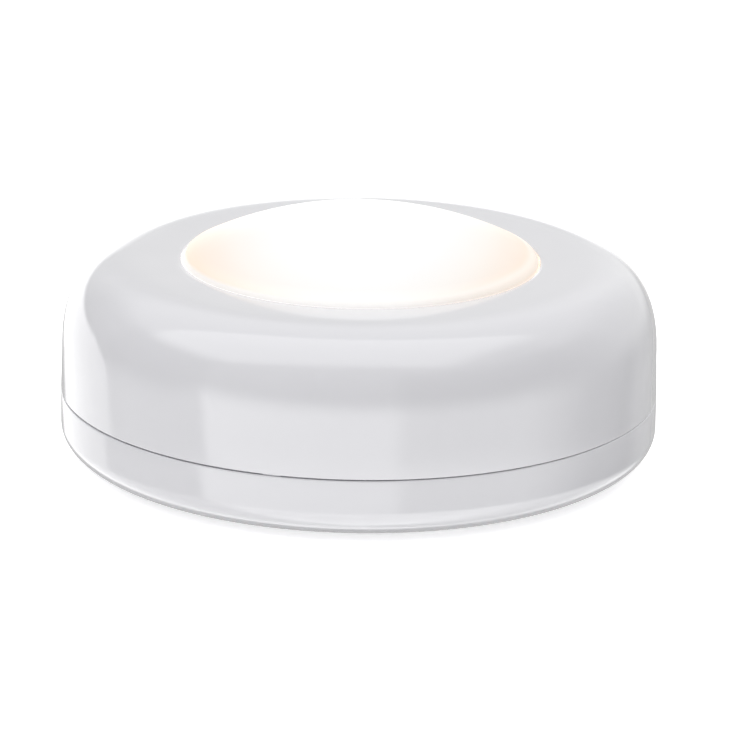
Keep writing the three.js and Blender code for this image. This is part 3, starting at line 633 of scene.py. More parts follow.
def lens_milk():
    """Milky diffuser, lit from inside: white over the LEDs and warmer towards the ends, where less light
    comes up. Its base colour is warmed towards the ends too, as a painted tint that follows the glow. The
    rounded rim glows more than the dome, partly as a painted highlight of the rim catching light, and the
    skirt passes most. The rim's glow is a painted white highlight on the left and warmer on the right."""
    f = Finish("lens_milk_plastic")
    split = f.add("ShaderNodeSeparateXYZ")
    f.join(f.place, split.inputs[0])
    x, y, z = split.outputs
    across = f.sum("MULTIPLY", f.sum("POWER", y, 2.0), ACROSS_SHARE)
    reach = f.sum("DIVIDE", f.sum("SQRT", f.sum("ADD", f.sum("POWER", x, 2.0), across)), LENS_R)
    # The base colour warms towards the ends as a painted tint that follows the glow, not the plastic's own
    # colour.
    body = [(0.0, (0.76, 0.76, 0.765)), (0.5, (0.76, 0.755, 0.755)), (1.0, (0.76, 0.71, 0.66))]
    glow = [(0.0, (1, 1, 1)), (0.5, (1, 1, 1)), (0.6, (1, 0.95, 0.88)), (0.7, (1, 0.85, 0.70)),
            (0.8, (1, 0.68, 0.42)), (0.925, (1, 0.52, 0.18))]
    # The rim's colour across x: white on the left as a painted highlight, warmer glow on the right.
    rim_glow_and_highlight_stops = [(0.0, (1, 1, 1)), (0.6, (1, 0.98, 0.95)), (0.85, (1, 0.86, 0.72)), (1.0, (1, 0.78, 0.60))]
    rim_glow_and_highlight = f.ramp(f.spread(x, -LENS_R, LENS_R, 0.0, 1.0), rim_glow_and_highlight_stops)
    start, end = RIM_RISE_START_SHARE * LENS_R, RIM_RISE_END_SHARE * LENS_R
    rim_top = f.spread(x, start, end, LENS_RIM_Z, LENS_RIM_Z + RIM_TINT_RISE)
    above_rim = f.sum("SUBTRACT", z, rim_top)
    on_rim = f.spread(above_rim, -RIM_TINT_BELOW, RIM_TINT_ABOVE, 1.0, 0.0, True)
    # The extra emission at the rim is partly a painted highlight of the fillet catching light.
    dome_strength = f.spread(z, LENS_RIM_Z - RIM_BELOW, LENS_RIM_Z + RIM_ABOVE, RIM_GLOW_AND_PAINTED_HIGHLIGHT, DOME_GLOW)
    skirt_strength = f.spread(z, HOLE_EDGE_Z - SKIRT_FADE, HOLE_EDGE_Z, SKIRT_GLOW, 0.0)
    f.set(Base_Color=f.ramp(reach, body))
    f.set(Emission_Strength=f.sum("ADD", dome_strength, skirt_strength))
    f.set(Emission_Color=f.tint(on_rim, f.ramp(reach, glow), rim_glow_and_highlight))
    f.set(Roughness=f.drift(3 * MM, 2.0, 0.30, 0.36), IOR=1.46)
    f.set(Normal=f.relief(f.noise(0.3 * MM, 2.0), 0.0008 * MM))
    return f.material


def foam_white():
    """Closed-cell foam: a matte skin broken by fine cells."""
    f = Finish("foam_white")
    cells = f.add("ShaderNodeTexVoronoi", feature="SMOOTH_F1")
    f.join(f.place, cells.inputs["Vector"])
    f.feed(cells, "Scale", 1 / (0.35 * MM))
    f.set(Base_Color=f.tint(f.noise(1.5 * MM, 3.0), (0.80, 0.79, 0.75), (0.90, 0.89, 0.85)))
    f.set(Roughness=0.95, Normal=f.relief(cells.outputs["Distance"], 0.08 * MM, 0.8))
    return f.material


def plastic(name, first, second, roughness, grain=0.5 * MM, depth=0.002 * MM):
    """Plain moulded plastic: a slow drift in tone, an uneven sheen and a fine grain."""
    f = Finish(name)
    f.set(Base_Color=f.tint(f.noise(8 * MM, 3.0), first, second), IOR=1.5)
    f.set(Roughness=f.drift(3 * MM, 3.0, roughness - 0.04, roughness + 0.05))
    f.set(Normal=f.relief(f.noise(grain, 3.0), depth))
    return f.material


def metal(name, first, second, roughness, grain=0.3 * MM, depth=0.001 * MM):
    """Plated or bare metal: a faint stain and fine unevenness."""
    f = Finish(name)
    f.set(Base_Color=f.tint(f.noise(2.5 * MM, 4.0, 0.6), first, second), Metallic=1.0)
    f.set(Roughness=f.spread(f.noise(1.2 * MM, 4.0), 0.25, 0.75, roughness - 0.06, roughness + 0.1))
    f.set(Normal=f.relief(f.noise(grain, 3.0), depth))
    return f.material


def cell_film():
    """Shrink film: green, with a pale band at the positive end, seen along the cell."""
    f = Finish("cell_film")
    along = f.add("ShaderNodeAttribute", attribute_name="along").outputs["Fac"]
    green, pale = (0.030, 0.105, 0.060), (0.62, 0.63, 0.60)
    stops = [(0.0, green), (0.80, green), (0.803, pale), (0.86, pale), (0.863, green)]
    f.set(Base_Color=f.ramp(along, stops))
    f.set(Roughness=f.drift(4 * MM, 3.0, 0.22, 0.34), IOR=1.5, Coat_Weight=0.4)
    f.set(Normal=f.relief(f.noise(1.6 * MM, 3.0, 0.6), 0.02 * MM, 0.6))
    return f.material


def board_white():
    """White solder mask, with the copper's ring standing faintly under it and the glass weave under all."""
    f = Finish("board_white_mask")
    split = f.add("ShaderNodeSeparateXYZ")
    f.join(f.place, split.inputs[0])
    x, y = (f.sum("POWER", split.outputs[axis], 2.0) for axis in ("X", "Y"))
    off_ring = f.sum("ABSOLUTE", f.sum("SUBTRACT", f.sum("SQRT", f.sum("ADD", x, y)), LED_CIRCLE_R))
    inner, outer = LED_RING_HALF - LED_RING_BORDER, LED_RING_HALF + LED_RING_BORDER
    ring = f.spread(off_ring, inner, outer, 1.0, 0.0)
    f.set(Base_Color=f.tint(ring, (0.80, 0.80, 0.77), (0.86, 0.86, 0.83)), IOR=1.5)
    f.set(Roughness=f.drift(4 * MM, 3.0, 0.34, 0.44))
    f.set(Normal=f.relief(ring, 0.03 * MM, under=f.relief(f.noise(0.25 * MM, 1.0), 0.002 * MM)))
    return f.material


def led_gel():
    """Yellow phosphor gel, soft and a little glassy."""
    f = Finish("led_yellow_gel")
    f.set(Base_Color=f.tint(f.noise(0.15 * MM, 3.0), (0.80, 0.52, 0.06), (0.90, 0.64, 0.12)), IOR=1.45)
    f.set(Subsurface_Weight=0.2, Subsurface_Scale=0.2 * MM, Roughness=f.drift(1 * MM, 2.0, 0.2, 0.3))
    f.set(Normal=f.relief(f.noise(0.2 * MM, 2.0), 0.004 * MM))
    return f.material


def shoulder(inset, steps):
    """The rolled shoulder, a quarter of a superellipse drawn in by an inset: the radius is the crest's plus
    width * cos(a)^(2/p), and the height is the foot's plus height * sin(a)^(2/p)."""
    a = np.linspace(0, np.pi / 2, steps + 1)
    width = BODY_R - WALL_DRAFT - CREST_R - inset
    across = np.maximum(np.cos(a), 0) ** (2 / SHOULDER_POWER)
    up = np.sin(a) ** (2 / SHOULDER_POWER)
    return np.stack([CREST_R + width * across, SHOULDER_FOOT_Z + (SHOULDER_HEIGHT - inset) * up], 1)


def housing_outline():
    """Up the outside from the seam, over the shoulder, into the lens hole and back along the inside. The
    land round the hole falls by depth * s^power, where s is the share of the way in from the crest."""
    bevel = arc(BODY_R - EDGE_BEVEL, SEAM_TOP_Z + EDGE_BEVEL, EDGE_BEVEL, EDGE_BEVEL, -90, 0, BEVEL_STEPS)
    s = np.linspace(0, 1, DISH_STEPS + 1)[1:-1]
    edge_r = HOLE_R + HOLE_EDGE_ROUND
    dish = np.stack([CREST_R + (edge_r - CREST_R) * s, CREST_Z - DISH_DEPTH * s**DISH_POWER], 1)
    centre_z = HOLE_EDGE_Z - HOLE_EDGE_ROUND
    hole_edge = arc(edge_r, centre_z, HOLE_EDGE_ROUND, HOLE_EDGE_ROUND, HOLE_EDGE_START, 180)
    collar = [(HOLE_R, COLLAR_FOOT_Z), (COLLAR_R, COLLAR_FOOT_Z), (COLLAR_R, CREST_Z - SHELL_WALL)]
    inside = shoulder(SHELL_WALL, SHOULDER_STEPS // 2)[::-1]
    rebate = [(SHELL_R, ROOT_TOP_Z), (SHELL_R, ROOT_FOOT_Z)]
    rebate += [(REBATE_R, ROOT_FOOT_Z), (REBATE_R, SEAM_TOP_Z)]
    return np.vstack([bevel, shoulder(0, SHOULDER_STEPS), dish, hole_edge, collar, inside, rebate])


def sectors(outline, centres, low_half, high_half):
    """The same stretch of a ring at several angles, as one surface."""
    return joined([sector(outline, a - low_half, a + high_half) for a in centres])


def seam_spacers():
    """Small tabs on the housing's lower edge that keep the seam open."""
    half = math.degrees(SPACER_WIDTH / 2 / BODY_R)
    inner_r, outer_r = REBATE_R + SPACER_INSET, BODY_R - EDGE_BEVEL - SPACER_INSET
    foot_z, top_z = SEAM_TOP_Z - SPACER_DROP, SEAM_TOP_Z + EDGE_BEVEL
    outline = rounded_box_outline(inner_r, outer_r, foot_z, top_z, SPACER_EDGE)
    angles = [SPACER_ANGLE + 360 * i / SPACER_COUNT for i in range(SPACER_COUNT)]
    return sectors(outline, angles, half, half)


def screw_bosses():
    """Bosses with blind holes. Each rises to the middle of the roof's thickness: the shoulder's foot plus
    height * (1 - share^p)^(1/p), where the share is of the way out from the crest."""
    foot_z, bore_z = DECK_TOP_Z, DECK_TOP_Z + BOSS_HOLE_DEPTH
    bore = [(0, bore_z), (BOSS_HOLE_R, bore_z), (BOSS_HOLE_R, foot_z)]
    rings = [(0, CREST_Z), (BOSS_R * BOSS_RING_SHARE, CREST_Z), (BOSS_R, CREST_Z), (BOSS_R, foot_z)]
    width = BODY_R - WALL_DRAFT - CREST_R - SHELL_WALL / 2
    bosses = []
    for x, y in SCREW_PLACES:
        points, quads, tris = turned(bore + rings[::-1], SMALL_TURN_STEPS)
        points = points + (x, y, 0)
        share = (np.hypot(points[:, 0], points[:, 1]) - CREST_R) / width
        up = (1 - np.clip(share, 0, 1) ** SHOULDER_POWER) ** (1 / SHOULDER_POWER)
        points[:, 2] = np.minimum(points[:, 2], SHOULDER_FOOT_Z + (SHOULDER_HEIGHT - SHELL_WALL / 2) * up)
        bosses.append((points, quads, tris))
    return joined(bosses)


def make_housing(finish):
    """Upper shell in one moulding with its seam spacers, screw bosses and bayonet tongues."""
    tongue = rounded_box_outline(TONGUE_INNER_R, TONGUE_OUTER_R, TONGUE_FOOT_Z, ROOT_TOP_Z, MOULD_EDGE)
    root = rounded_box_outline(TONGUE_INNER_R, REBATE_R, ROOT_FOOT_Z, ROOT_TOP_Z, MOULD_EDGE)
    lug_top_z = TONGUE_FOOT_Z + LUG_THICKNESS
    lug = rounded_box_outline(TONGUE_INNER_R, SHELL_R - LUG_GAP, TONGUE_FOOT_Z, lug_top_z, MOULD_EDGE)
    shell = mould("housing_shell", [
        turned(housing_outline()),
        joined([seam_spacers(), screw_bosses(), sectors(tongue, LUG_ANGLES, TONGUE_HALF, TONGUE_HALF)]),
        sectors(root, LUG_ANGLES, TONGUE_HALF, TONGUE_HALF),
        sectors(lug, LUG_ANGLES, LUG_HALF, LUG_HALF),
    ])
    shift_edge(shell.data, BASE_TOP_Z, SEAM_TOP_Z + EDGE_BAND, lean_housing)
    return seat(shell, "head", finish, "gloss_white", "housing")


def shift_edge(mesh, low_z, high_z, move):
    """Gives the points of an outer edge new heights by a function of them. The edge is what lies beyond
    the lip and between two heights."""
    points = np.empty((len(mesh.vertices), 3), np.float32)
    mesh.vertices.foreach_get("co", points.ravel())
    outside = np.hypot(points[:, 0], points[:, 1]) > LIP_R - FIT
    edge = (points[:, 2] > low_z) & (points[:, 2] < high_z) & outside
    points[edge, 2] = move(points[edge])
    mesh.vertices.foreach_set("co", points.ravel())
    mesh.update()


def seam_floor(points):
    """The height of the base's top edge: a rise, less a sag that grows as the square of the way to the
    front, plus a slight lean that grows to the right."""
    front = np.minimum(points[:, 1], 0) / BODY_R
    return BASE_TOP_Z + SEAM_SIDE_RISE - SEAM_FRONT_SAG * front**2 + SEAM_LEAN * points[:, 0] / BODY_R


def lean_housing(points):
    """The shell's lower edge follows the base, and drops by an amount that grows from left to right, as the
    share of the way across raised to a power. It keeps a least gap to the base."""
    share = ((1 + points[:, 0] / BODY_R) / 2) ** SEAM_DROP_POWER
    drop = SEAM_DROP_LEFT + (SEAM_DROP_RIGHT - SEAM_DROP_LEFT) * share
    floor = seam_floor(points)
    return np.maximum(points[:, 2] - drop + floor - BASE_TOP_Z, floor + SEAM_LEAST_GAP)


def lean_base(points):
    """The base's top edge follows the height of the seam."""
    return points[:, 2] + seam_floor(points) - BASE_TOP_Z


def base_outline():
    """From the middle of the pad's recess out under the rounded edge, up the wall, over the lip and back
    along the inside."""
    edge_r = BODY_R - EDGE_WIDTH
    recess_r = PAD_R + PAD_GAP
    recess = [(0, PAD_TOP_Z), (recess_r, PAD_TOP_Z)]
    recess_edge = arc(recess_r + EDGE_BEVEL, EDGE_BEVEL, EDGE_BEVEL, EDGE_BEVEL, 180, 270, CORNER_STEPS)
    outside = arc(edge_r, EDGE_HEIGHT, EDGE_WIDTH, EDGE_HEIGHT, -90, 0, FOOT_STEPS)
    bevel = arc(BODY_R - EDGE_BEVEL, BASE_TOP_Z - EDGE_BEVEL, EDGE_BEVEL, EDGE_BEVEL, 0, 90, BEVEL_STEPS)
    lip = [(LIP_R, BASE_TOP_Z), (LIP_R, LIP_TOP_Z - EDGE_BEVEL)]
    lip += [(LIP_R - EDGE_BEVEL, LIP_TOP_Z), (SHELL_R, LIP_TOP_Z)]
    inner_w, inner_h = EDGE_WIDTH - SHELL_WALL, EDGE_HEIGHT - FLOOR_THICKNESS
    inside = arc(edge_r, EDGE_HEIGHT, inner_w, inner_h, 0, -90, SECTOR_STEPS)
    return np.vstack([recess, recess_edge, outside, bevel, lip, inside, [(0, FLOOR_THICKNESS)]])


def make_base(finish):
    """Lower shell in one moulding with the ledges that hold the lugs and the stops beside them."""
    root_r = SHELL_R + SHELL_WALL / 2
    ledge = rounded_box_outline(LEDGE_R, root_r, LEDGE_FOOT_Z, LEDGE_TOP_Z, MOULD_EDGE)
    stop = rounded_box_outline(LEDGE_R, root_r, LEDGE_TOP_Z - STOP_DEPTH, LEDGE_TOP_Z, MOULD_EDGE)
    stop_end = LUG_HALF + STOP_GAP
    shell = mould("base_shell", [
        turned(base_outline()),
        sectors(ledge, LUG_ANGLES, LEDGE_HALF, LEDGE_HALF),
        sectors(stop, LUG_ANGLES, stop_end + STOP_ANGLE, -stop_end),
    ])
    shift_edge(shell.data, BASE_TOP_Z - EDGE_BAND, BASE_TOP_Z + FIT, lean_base)
    return seat(shell, "base", finish, "gloss_white", "base")


def dome_z(sphere_r, r):
    """A dome's height at a distance r from the axis: the sphere's middle + sqrt(sphere radius^2 - r^2)."""
    return LENS_SPHERE_Z + np.sqrt(sphere_r**2 - r**2)


def lens_outline():
    """From the foot of the post out under the dome, down the skirt, up its outside and over the dome."""
    skirt_r = LENS_R - SKIRT_WALL
    under_r = np.linspace(POST_R, skirt_r, LENS_UNDER_STEPS)
    under = np.stack([under_r, dome_z(LENS_SPHERE_R - LENS_WALL, under_r)], 1)
    round_r = LENS_R - LENS_EDGE_ROUND
    round_z = dome_z(LENS_SPHERE_R - LENS_EDGE_ROUND, round_r)
    end = math.degrees(math.atan2(round_z - LENS_SPHERE_Z, round_r))
    edge = arc(round_r, round_z, LENS_EDGE_ROUND, LENS_EDGE_ROUND, 0, end)
    over_r = np.linspace(edge[-1, 0], 0, LENS_STEPS)[1:]
    over = np.stack([over_r, dome_z(LENS_SPHERE_R, over_r)], 1)
    post = [(0, PLUNGER_TOP_Z), (POST_R, PLUNGER_TOP_Z)]
    skirt = [(skirt_r, LENS_FOOT_Z), (LENS_R, LENS_FOOT_Z)]
    return np.vstack([post, under, skirt, edge, over])


def make_lens(finish):
    """Domed diffuser in one moulding with its skirt, its hooks and the post that presses the switch."""
    hook_top_z = LENS_FOOT_Z + HOOK_THICKNESS
    hook = rounded_box_outline(LENS_R - SKIRT_WALL / 2, HOOK_R, LENS_FOOT_Z, hook_top_z, MOULD_EDGE)
    lens = mould("lens_dome", [turned(lens_outline()), sectors(hook, HOOK_ANGLES, HOOK_HALF, HOOK_HALF)])
    return seat(lens, "lens_button", finish, "lens_milk", "lens")


def make_pad(finish):
    """Foam adhesive pad, its cut edge slightly bulged."""
    half = PAD_TOP_Z / 2
    bulge = arc(PAD_R - PAD_BULGE, half, PAD_BULGE, half, -90, 90, 10)
    pad = new_object("adhesive_foam", turned(np.vstack([[(0, 0)], bulge, [(0, PAD_TOP_Z)]])))
    seat(pad, "base", finish, "foam_white", "adhesive_pad")


def make_cells(film, can_metal):
    """Three cells, each a steel can with its nub and a shrink film that turns in over the can's edges. Each
    is a profile turned about Z and laid along X, every other one turned round."""
    top = CELL_LENGTH - NUB_LENGTH
    edge_r, low_z, high_z = CELL_R - CELL_EDGE, CELL_EDGE, top - CELL_EDGE
    under = CELL_EDGE - FILM
    groove_z = top - GROOVE_DEPTH
    nub_edge_z = CELL_LENGTH - NUB_EDGE
    can = turned(np.vstack([
        [(0, CAN_DISH_DEPTH), (CAN_DISH_R, CAN_DISH_DEPTH), (CAN_DISH_RIM_R, FILM)],
        arc(edge_r, low_z, under, under, -90, 0),
        arc(edge_r, high_z, under, under, 0, 90),
        [(GROOVE_RIM_R, top - FILM), (GROOVE_R, groove_z), (NUB_R + NUB_ROOT_WIDTH, groove_z)],
        [(NUB_R, groove_z + NUB_ROOT_HEIGHT), (NUB_R, nub_edge_z)],
        arc(NUB_R - NUB_EDGE, nub_edge_z, NUB_EDGE, NUB_EDGE, 0, 90, BEVEL_STEPS)[1:],
        [(0, CELL_LENGTH)],
    ]), SMALL_TURN_STEPS)
    wrap = turned(np.vstack([
        [(FILM_END_R, 0)],
        arc(edge_r, low_z, CELL_EDGE, CELL_EDGE, -90, 0),
        arc(edge_r, high_z, CELL_EDGE, CELL_EDGE, 0, 90),
        [(FILM_END_R, top), (FILM_END_R, top - FILM)],
        arc(edge_r, high_z, under, under, 90, 0),
        arc(edge_r, low_z, under, under, 0, -90),
        [(FILM_END_R, FILM)],
    ]), SMALL_TURN_STEPS)
    for i, name in enumerate(CELLS):
        lay, side = (ALONG_X, 1) if i % 2 == 0 else (AGAINST_X, -1)
        place = (side * (CONTACT_X - CELL_LENGTH), middle(name)[1], AXIS_Z)
        seat(new_object(f"{name}_can", placed(can, place, lay)), "head", can_metal, "nickel", name)
        sleeve = new_object(f"{name}_film", placed(wrap, place, lay))
        share = sleeve.data.attributes.new("along", "FLOAT", "POINT")
        share.data.foreach_set("value", wrap[0][:, 2] / CELL_LENGTH)
        seat(sleeve, "head", film, "cell_sleeve", name)


def make_springs(finish):
    """Conical springs. A flat turn lies on the contact, the coil narrows as it rises, and a flat turn meets
    the cell: (radius cos a, radius sin a, rise), where the radius and the rise both follow the share of
    the middle turns that is behind the point."""
    turns = np.linspace(-SPRING_FLAT_TURNS, SPRING_TURNS + SPRING_FLAT_TURNS, SPRING_STEPS)
    share = np.clip(turns / SPRING_TURNS, 0, 1)
    radius = SPRING_BASE_R + (SPRING_TIP_R - SPRING_BASE_R) * share
    rise = SPRING_WIRE_R + (SPRING_LENGTH - 2 * SPRING_WIRE_R) * share
    angle = 2 * np.pi * turns
    path = np.stack([radius * np.cos(angle), radius * np.sin(angle), rise], 1)
    coil = tube(path, SPRING_WIRE_R, (0, 0, 1), THIN_ROD_SIDES)
    for name, cell, side in SPRINGS:
        place = (side * CONTACT_X, middle(cell)[1], AXIS_Z)
        spring = new_object(f"{name}_coil", placed(coil, place, AGAINST_X if side > 0 else ALONG_X))
        seat(spring, "head", finish, "nickel", name)


def wire_landing(name, side):
    """Where a lead meets the board: one wire radius inside a corner of its node's box."""
    corner_a, corner_b = (low(name), high(name)) if side > 0 else (high(name), low(name))
    return np.array([corner_a[0] + side * WIRE_R, corner_b[1] - side * WIRE_R, BOARD_TOP_Z])


def make_wires(insulations, solder):
    """The two leads: insulation along the bend, a tinned core to its ends, and solder on the tab and on the
    land. The bend is a cubic: (1-t)^3 * leaving + 3t(1-t)^2 * near + 3t^2(1-t) * far + t^3 * landing, where
    near and far reach on from the two ends."""
    blob = turned(np.vstack([[(0, 0)], arc(0, 0, SOLDER_R, SOLDER_HEIGHT, 0, 90)]), BLOB_STEPS)
    for (name, side), finish in zip(WIRES, insulations):
        end = wire_landing(name, side)
        tab = f"contact_{'positive' if side > 0 else 'negative'}"
        inner = low(name) if side > 0 else high(name)
        start = np.array([side * CONTACT_X, inner[1] + side * WIRE_R, high(tab)[2] - WIRE_R])
        leaving = start - (side * WIRE_STRAIGHT, 0, 0)
        landing = end + (0, 0, WIRE_STRAIGHT)
        t = np.linspace(0, 1, WIRE_STEPS)[:, None]
        bend = (1 - t) ** 3 * leaving + t**3 * landing
        bend += 3 * t * (1 - t) ** 2 * (leaving - (side * WIRE_REACH, 0, 0))
        bend += 3 * t**2 * (1 - t) * (landing + (0, 0, WIRE_REACH))
        lead = new_object(f"{name}_insulation", tube(bend, WIRE_R, (0, 1, 0)))
        seat(lead, "head", finish, name, name)
        core = tube(np.vstack([start, bend, end]), CONDUCTOR_R, (0, 1, 0), THIN_ROD_SIDES)
        on_tab = placed(blob, start, AGAINST_X if side > 0 else ALONG_X)
        ends = new_object(f"{name}_solder", joined([core, placed(blob, end), on_tab]))
        seat(ends, "head", solder, "nickel", name)


def make_leds(case_finish, gel_finish, terminal_finish):
    """LED packages: a case with a round well, the gel in it, and a terminal under each end."""
    top = LED_HEIGHT
    well = [(LED_WELL_R, top), (LED_WELL_FLOOR_R, top - LED_WELL_DEPTH)]
    case = slab(LED_LENGTH - 2 * LED_END_STEP, LED_WIDTH, LAND_HEIGHT, top, LED_CORNER, LED_EDGE, well)
    level = top - GEL_DROP
    gel_foot = [(0, top - LED_WELL_DEPTH), (LED_WELL_FLOOR_R, top - LED_WELL_DEPTH)]
    gel_top = [(LED_WELL_R - GEL_GAP, level), (LED_WELL_R * GEL_RING_SHARE, level - GEL_RING_SAG)]
    gel = turned(gel_foot + gel_top + [(0, level - GEL_SAG)], BLOB_STEPS)
    terminal = slab(TERMINAL_LENGTH, TERMINAL_WIDTH, 0, TERMINAL_HEIGHT, TERMINAL_CORNER, TERMINAL_EDGE)
    reach = (LED_LENGTH - TERMINAL_LENGTH) / 2
    terminals = joined([placed(terminal, (side * reach, 0, 0)) for side in (-1, 1)])
    for i in range(LED_COUNT):
        name, turn = f"led_{i + 1}", about_z(360 / LED_COUNT * i)
        place = turn @ (LED_CIRCLE_R, 0, BOARD_TOP_Z)
        for part, surface, finish, slot in (("case", case, case_finish, "plunger_white"),
                                            ("gel", gel, gel_finish, "led_yellow"),
                                            ("terminals", terminals, terminal_finish, "nickel")):
            seat(new_object(f"{name}_{part}", placed(surface, place, turn)), "head", finish, slot, name)


def make_resistors(body_finish, end_finish):
    """Chip resistors: a dark body between two plated ends."""
    body_length = RESISTOR_LENGTH - RESISTOR_END
    body_width, body_top = RESISTOR_WIDTH - 2 * CHIP_SIDE_STEP, RESISTOR_HEIGHT - CHIP_TOP_STEP
    body = slab(body_length, body_width, CHIP_FOOT_STEP, body_top, CHIP_CORNER, CHIP_EDGE)
    end = slab(RESISTOR_END, RESISTOR_WIDTH, 0, RESISTOR_HEIGHT, RESISTOR_END_CORNER, RESISTOR_END_EDGE)
    ends = joined([placed(end, (side * body_length / 2, 0, 0)) for side in (-1, 1)])
    for i, side in enumerate((-1, 1)):
        name, place = f"resistor_{i + 1}", (0, side * RESISTOR_Y, BOARD_TOP_Z)
        seat(new_object(f"{name}_chip", placed(body, place)), "head", body_finish, "chip_black", name)
        seat(new_object(f"{name}_ends", placed(ends, place)), "head", end_finish, "nickel", name)


def make_switch(case_finish, pin_finish, solder, plunger_finish):
    """Latching switch: a case with a round well, six pins with solder cones under the board, and the necked
    plunger."""
    well_r = PLUNGER_R + PLUNGER_GAP
    well = [(well_r + SWITCH_WELL_EDGE, SWITCH_TOP_Z), (well_r, SWITCH_TOP_Z - SWITCH_WELL_EDGE)]
    well += [(well_r, PLUNGER_FOOT_Z - SWITCH_WELL_ROOM)]
    case = slab(SWITCH_WIDTH, SWITCH_WIDTH, BOARD_TOP_Z, SWITCH_TOP_Z, SWITCH_CORNER, SWITCH_EDGE, well)
    seat(new_object("switch_case", case), "head", case_finish, "switch_black", "switch_body")
    pin = slab(PIN_WIDTH, PIN_THICKNESS, PIN_FOOT_Z, BOARD_TOP_Z + PIN_WIDTH, PIN_CORNER, PIN_EDGE)
    pins = joined([placed(pin, (x, y, 0)) for x, y in PIN_PLACES])
    seat(new_object("switch_pins", pins), "head", pin_finish, "nickel", "switch_body")
    tip = [(0, PIN_FOOT_Z + CONE_TIP_STEP), (CONE_TIP_R, PIN_FOOT_Z + CONE_TIP_EDGE_STEP)]
    waist = [(CONE_WAIST_R, BOARD_FOOT_Z - CONE_WAIST_DROP)]
    cone = turned(tip + waist + [(CONE_FOOT_R, BOARD_FOOT_Z), (0, BOARD_FOOT_Z)], CONE_STEPS)
    cones = joined([placed(cone, (x, y, 0)) for x, y in PIN_PLACES])
    seat(new_object("switch_solder", cones), "head", solder, "nickel", "switch_body")
    neck_foot_z, cap_foot_z = SWITCH_TOP_Z - PLUNGER_GAP, PLUNGER_TOP_Z - PLUNGER_CAP
    edge = PLUNGER_EDGE
    plunger = turned(np.vstack([
        [(0, PLUNGER_FOOT_Z)],
        arc(PLUNGER_R - edge, PLUNGER_FOOT_Z + edge, edge, edge, -90, 0, CORNER_STEPS),
        [(PLUNGER_R, neck_foot_z), (PLUNGER_NECK_R, neck_foot_z), (PLUNGER_NECK_R, cap_foot_z)],
        arc(PLUNGER_R - edge, cap_foot_z + edge, edge, edge, -90, 0, CORNER_STEPS),
        arc(PLUNGER_R - edge, PLUNGER_TOP_Z - edge, edge, edge, 0, 90, CORNER_STEPS),
        [(0, PLUNGER_TOP_Z)],
    ]), SMALL_TURN_STEPS)
    seat(new_object("plunger_cap", plunger), "plunger", plunger_finish, "plunger_white", "switch_plunger")


def make_lands(finish):
    """Plated lands on the board: under the ends of the LEDs and resistors, and under the wires."""
    top_z = BOARD_TOP_Z + LAND_HEIGHT
    small = slab(LAND_LENGTH, LAND_WIDTH, BOARD_TOP_Z, top_z, LAND_CORNER, LAND_EDGE)
    led_reach = LED_LENGTH / 2 + LAND_MARGIN - LAND_LENGTH / 2
    resistor_reach = RESISTOR_LENGTH / 2 + LAND_MARGIN - LAND_LENGTH / 2
    lands = []
    for i in range(LED_COUNT):
        turn = about_z(360 / LED_COUNT * i)
        for side in (-1, 1):
            lands.append(placed(small, turn @ (LED_CIRCLE_R + side * led_reach, 0, 0), turn))
    for side_x in (-1, 1):
        for side_y in (-1, 1):
            lands.append(placed(small, (side_x * resistor_reach, side_y * RESISTOR_Y, 0)))
    disc = [(0, BOARD_TOP_Z), (WIRE_LAND_R, BOARD_TOP_Z), (WIRE_LAND_R, top_z), (0, top_z)]
    for name, side in WIRES:
        lands.append(placed(turned(disc, LAND_STEPS), wire_landing(name, side) * (1, 1, 0)))
    seat(new_object("board_lands", joined(lands)), "head", finish, "nickel")


def screw_surface(head_r, head_height, shank_r, length, pitch):
    """A pan-head screw about Z with its head above height 0. Down the shank the radius is the core's plus
    the thread's depth * ridge, and the ridge peaks wherever height / pitch - angle / turn is whole."""
    steps = SMALL_TURN_STEPS
    angle = np.arange(steps) * 2 * np.pi / steps
    z = np.linspace(-length, 0, int(length / pitch * THREAD_STEPS))[:, None]
    phase = z / pitch - angle / (2 * np.pi)
    off_crest = np.abs(phase - np.round(phase))
    fade = np.clip(-z / pitch, 0, 1) * np.clip((z + length) / pitch, 0, 1)
    ridge = np.clip(1 - off_crest / THREAD_RIDGE_SHARE, 0, 1) * fade
    depth = shank_r * THREAD_DEPTH_SHARE
    point = POINT_SHARE + (1 - POINT_SHARE) * np.clip((z + length) / (POINT_TURNS * pitch), 0, 1)
    shank = (shank_r - depth) * point + depth * ridge
    flat_r, side_z = head_r * HEAD_FLAT_SHARE, head_height * HEAD_SIDE_SHARE
    head = np.vstack([
        arc(head_r - HEAD_EDGE, HEAD_EDGE, HEAD_EDGE, HEAD_EDGE, -90, 0, CORNER_STEPS),
        arc(flat_r, side_z, head_r - flat_r, head_height - side_z, 0, 90, ARC_STEPS - 1),
    ])
    radius = np.vstack([shank, np.repeat(head[:, :1], steps, axis=1)])
    height = np.vstack([z, head[:, 1:]]) + 0 * angle
    return skin(np.stack([radius * np.cos(angle), radius * np.sin(angle), height], -1))


def make_screws(names, sizes, seat_z, turn, finish):
    """Screws with a cross recess, each turned a little further than the last."""
    head_r, head_height = sizes["head_r"], sizes["head_height"]
    length, width = head_r * RECESS_LENGTH_SHARE, head_r * RECESS_WIDTH_SHARE
    floor_z, over_z = head_height * (1 - RECESS_DEPTH_SHARE), head_height * RECESS_OVERRUN_SHARE
    bar = slab(length, width, floor_z, over_z, width * RECESS_CORNER_SHARE, width * RECESS_EDGE_SHARE)
    for i, name in enumerate(names):
        lay = turn @ about_z(FIRST_SCREW_TURN + NEXT_SCREW_TURN * i)
        place = np.append(middle(name)[:2], seat_z)
        bars = [placed(bar, place, lay @ about_z(a)) for a in (0, 90)]
        screw = mould(f"{name}_cross", [placed(screw_surface(**sizes), place, lay)], bars)
        seat(screw, "head", finish, "zinc_steel", name)


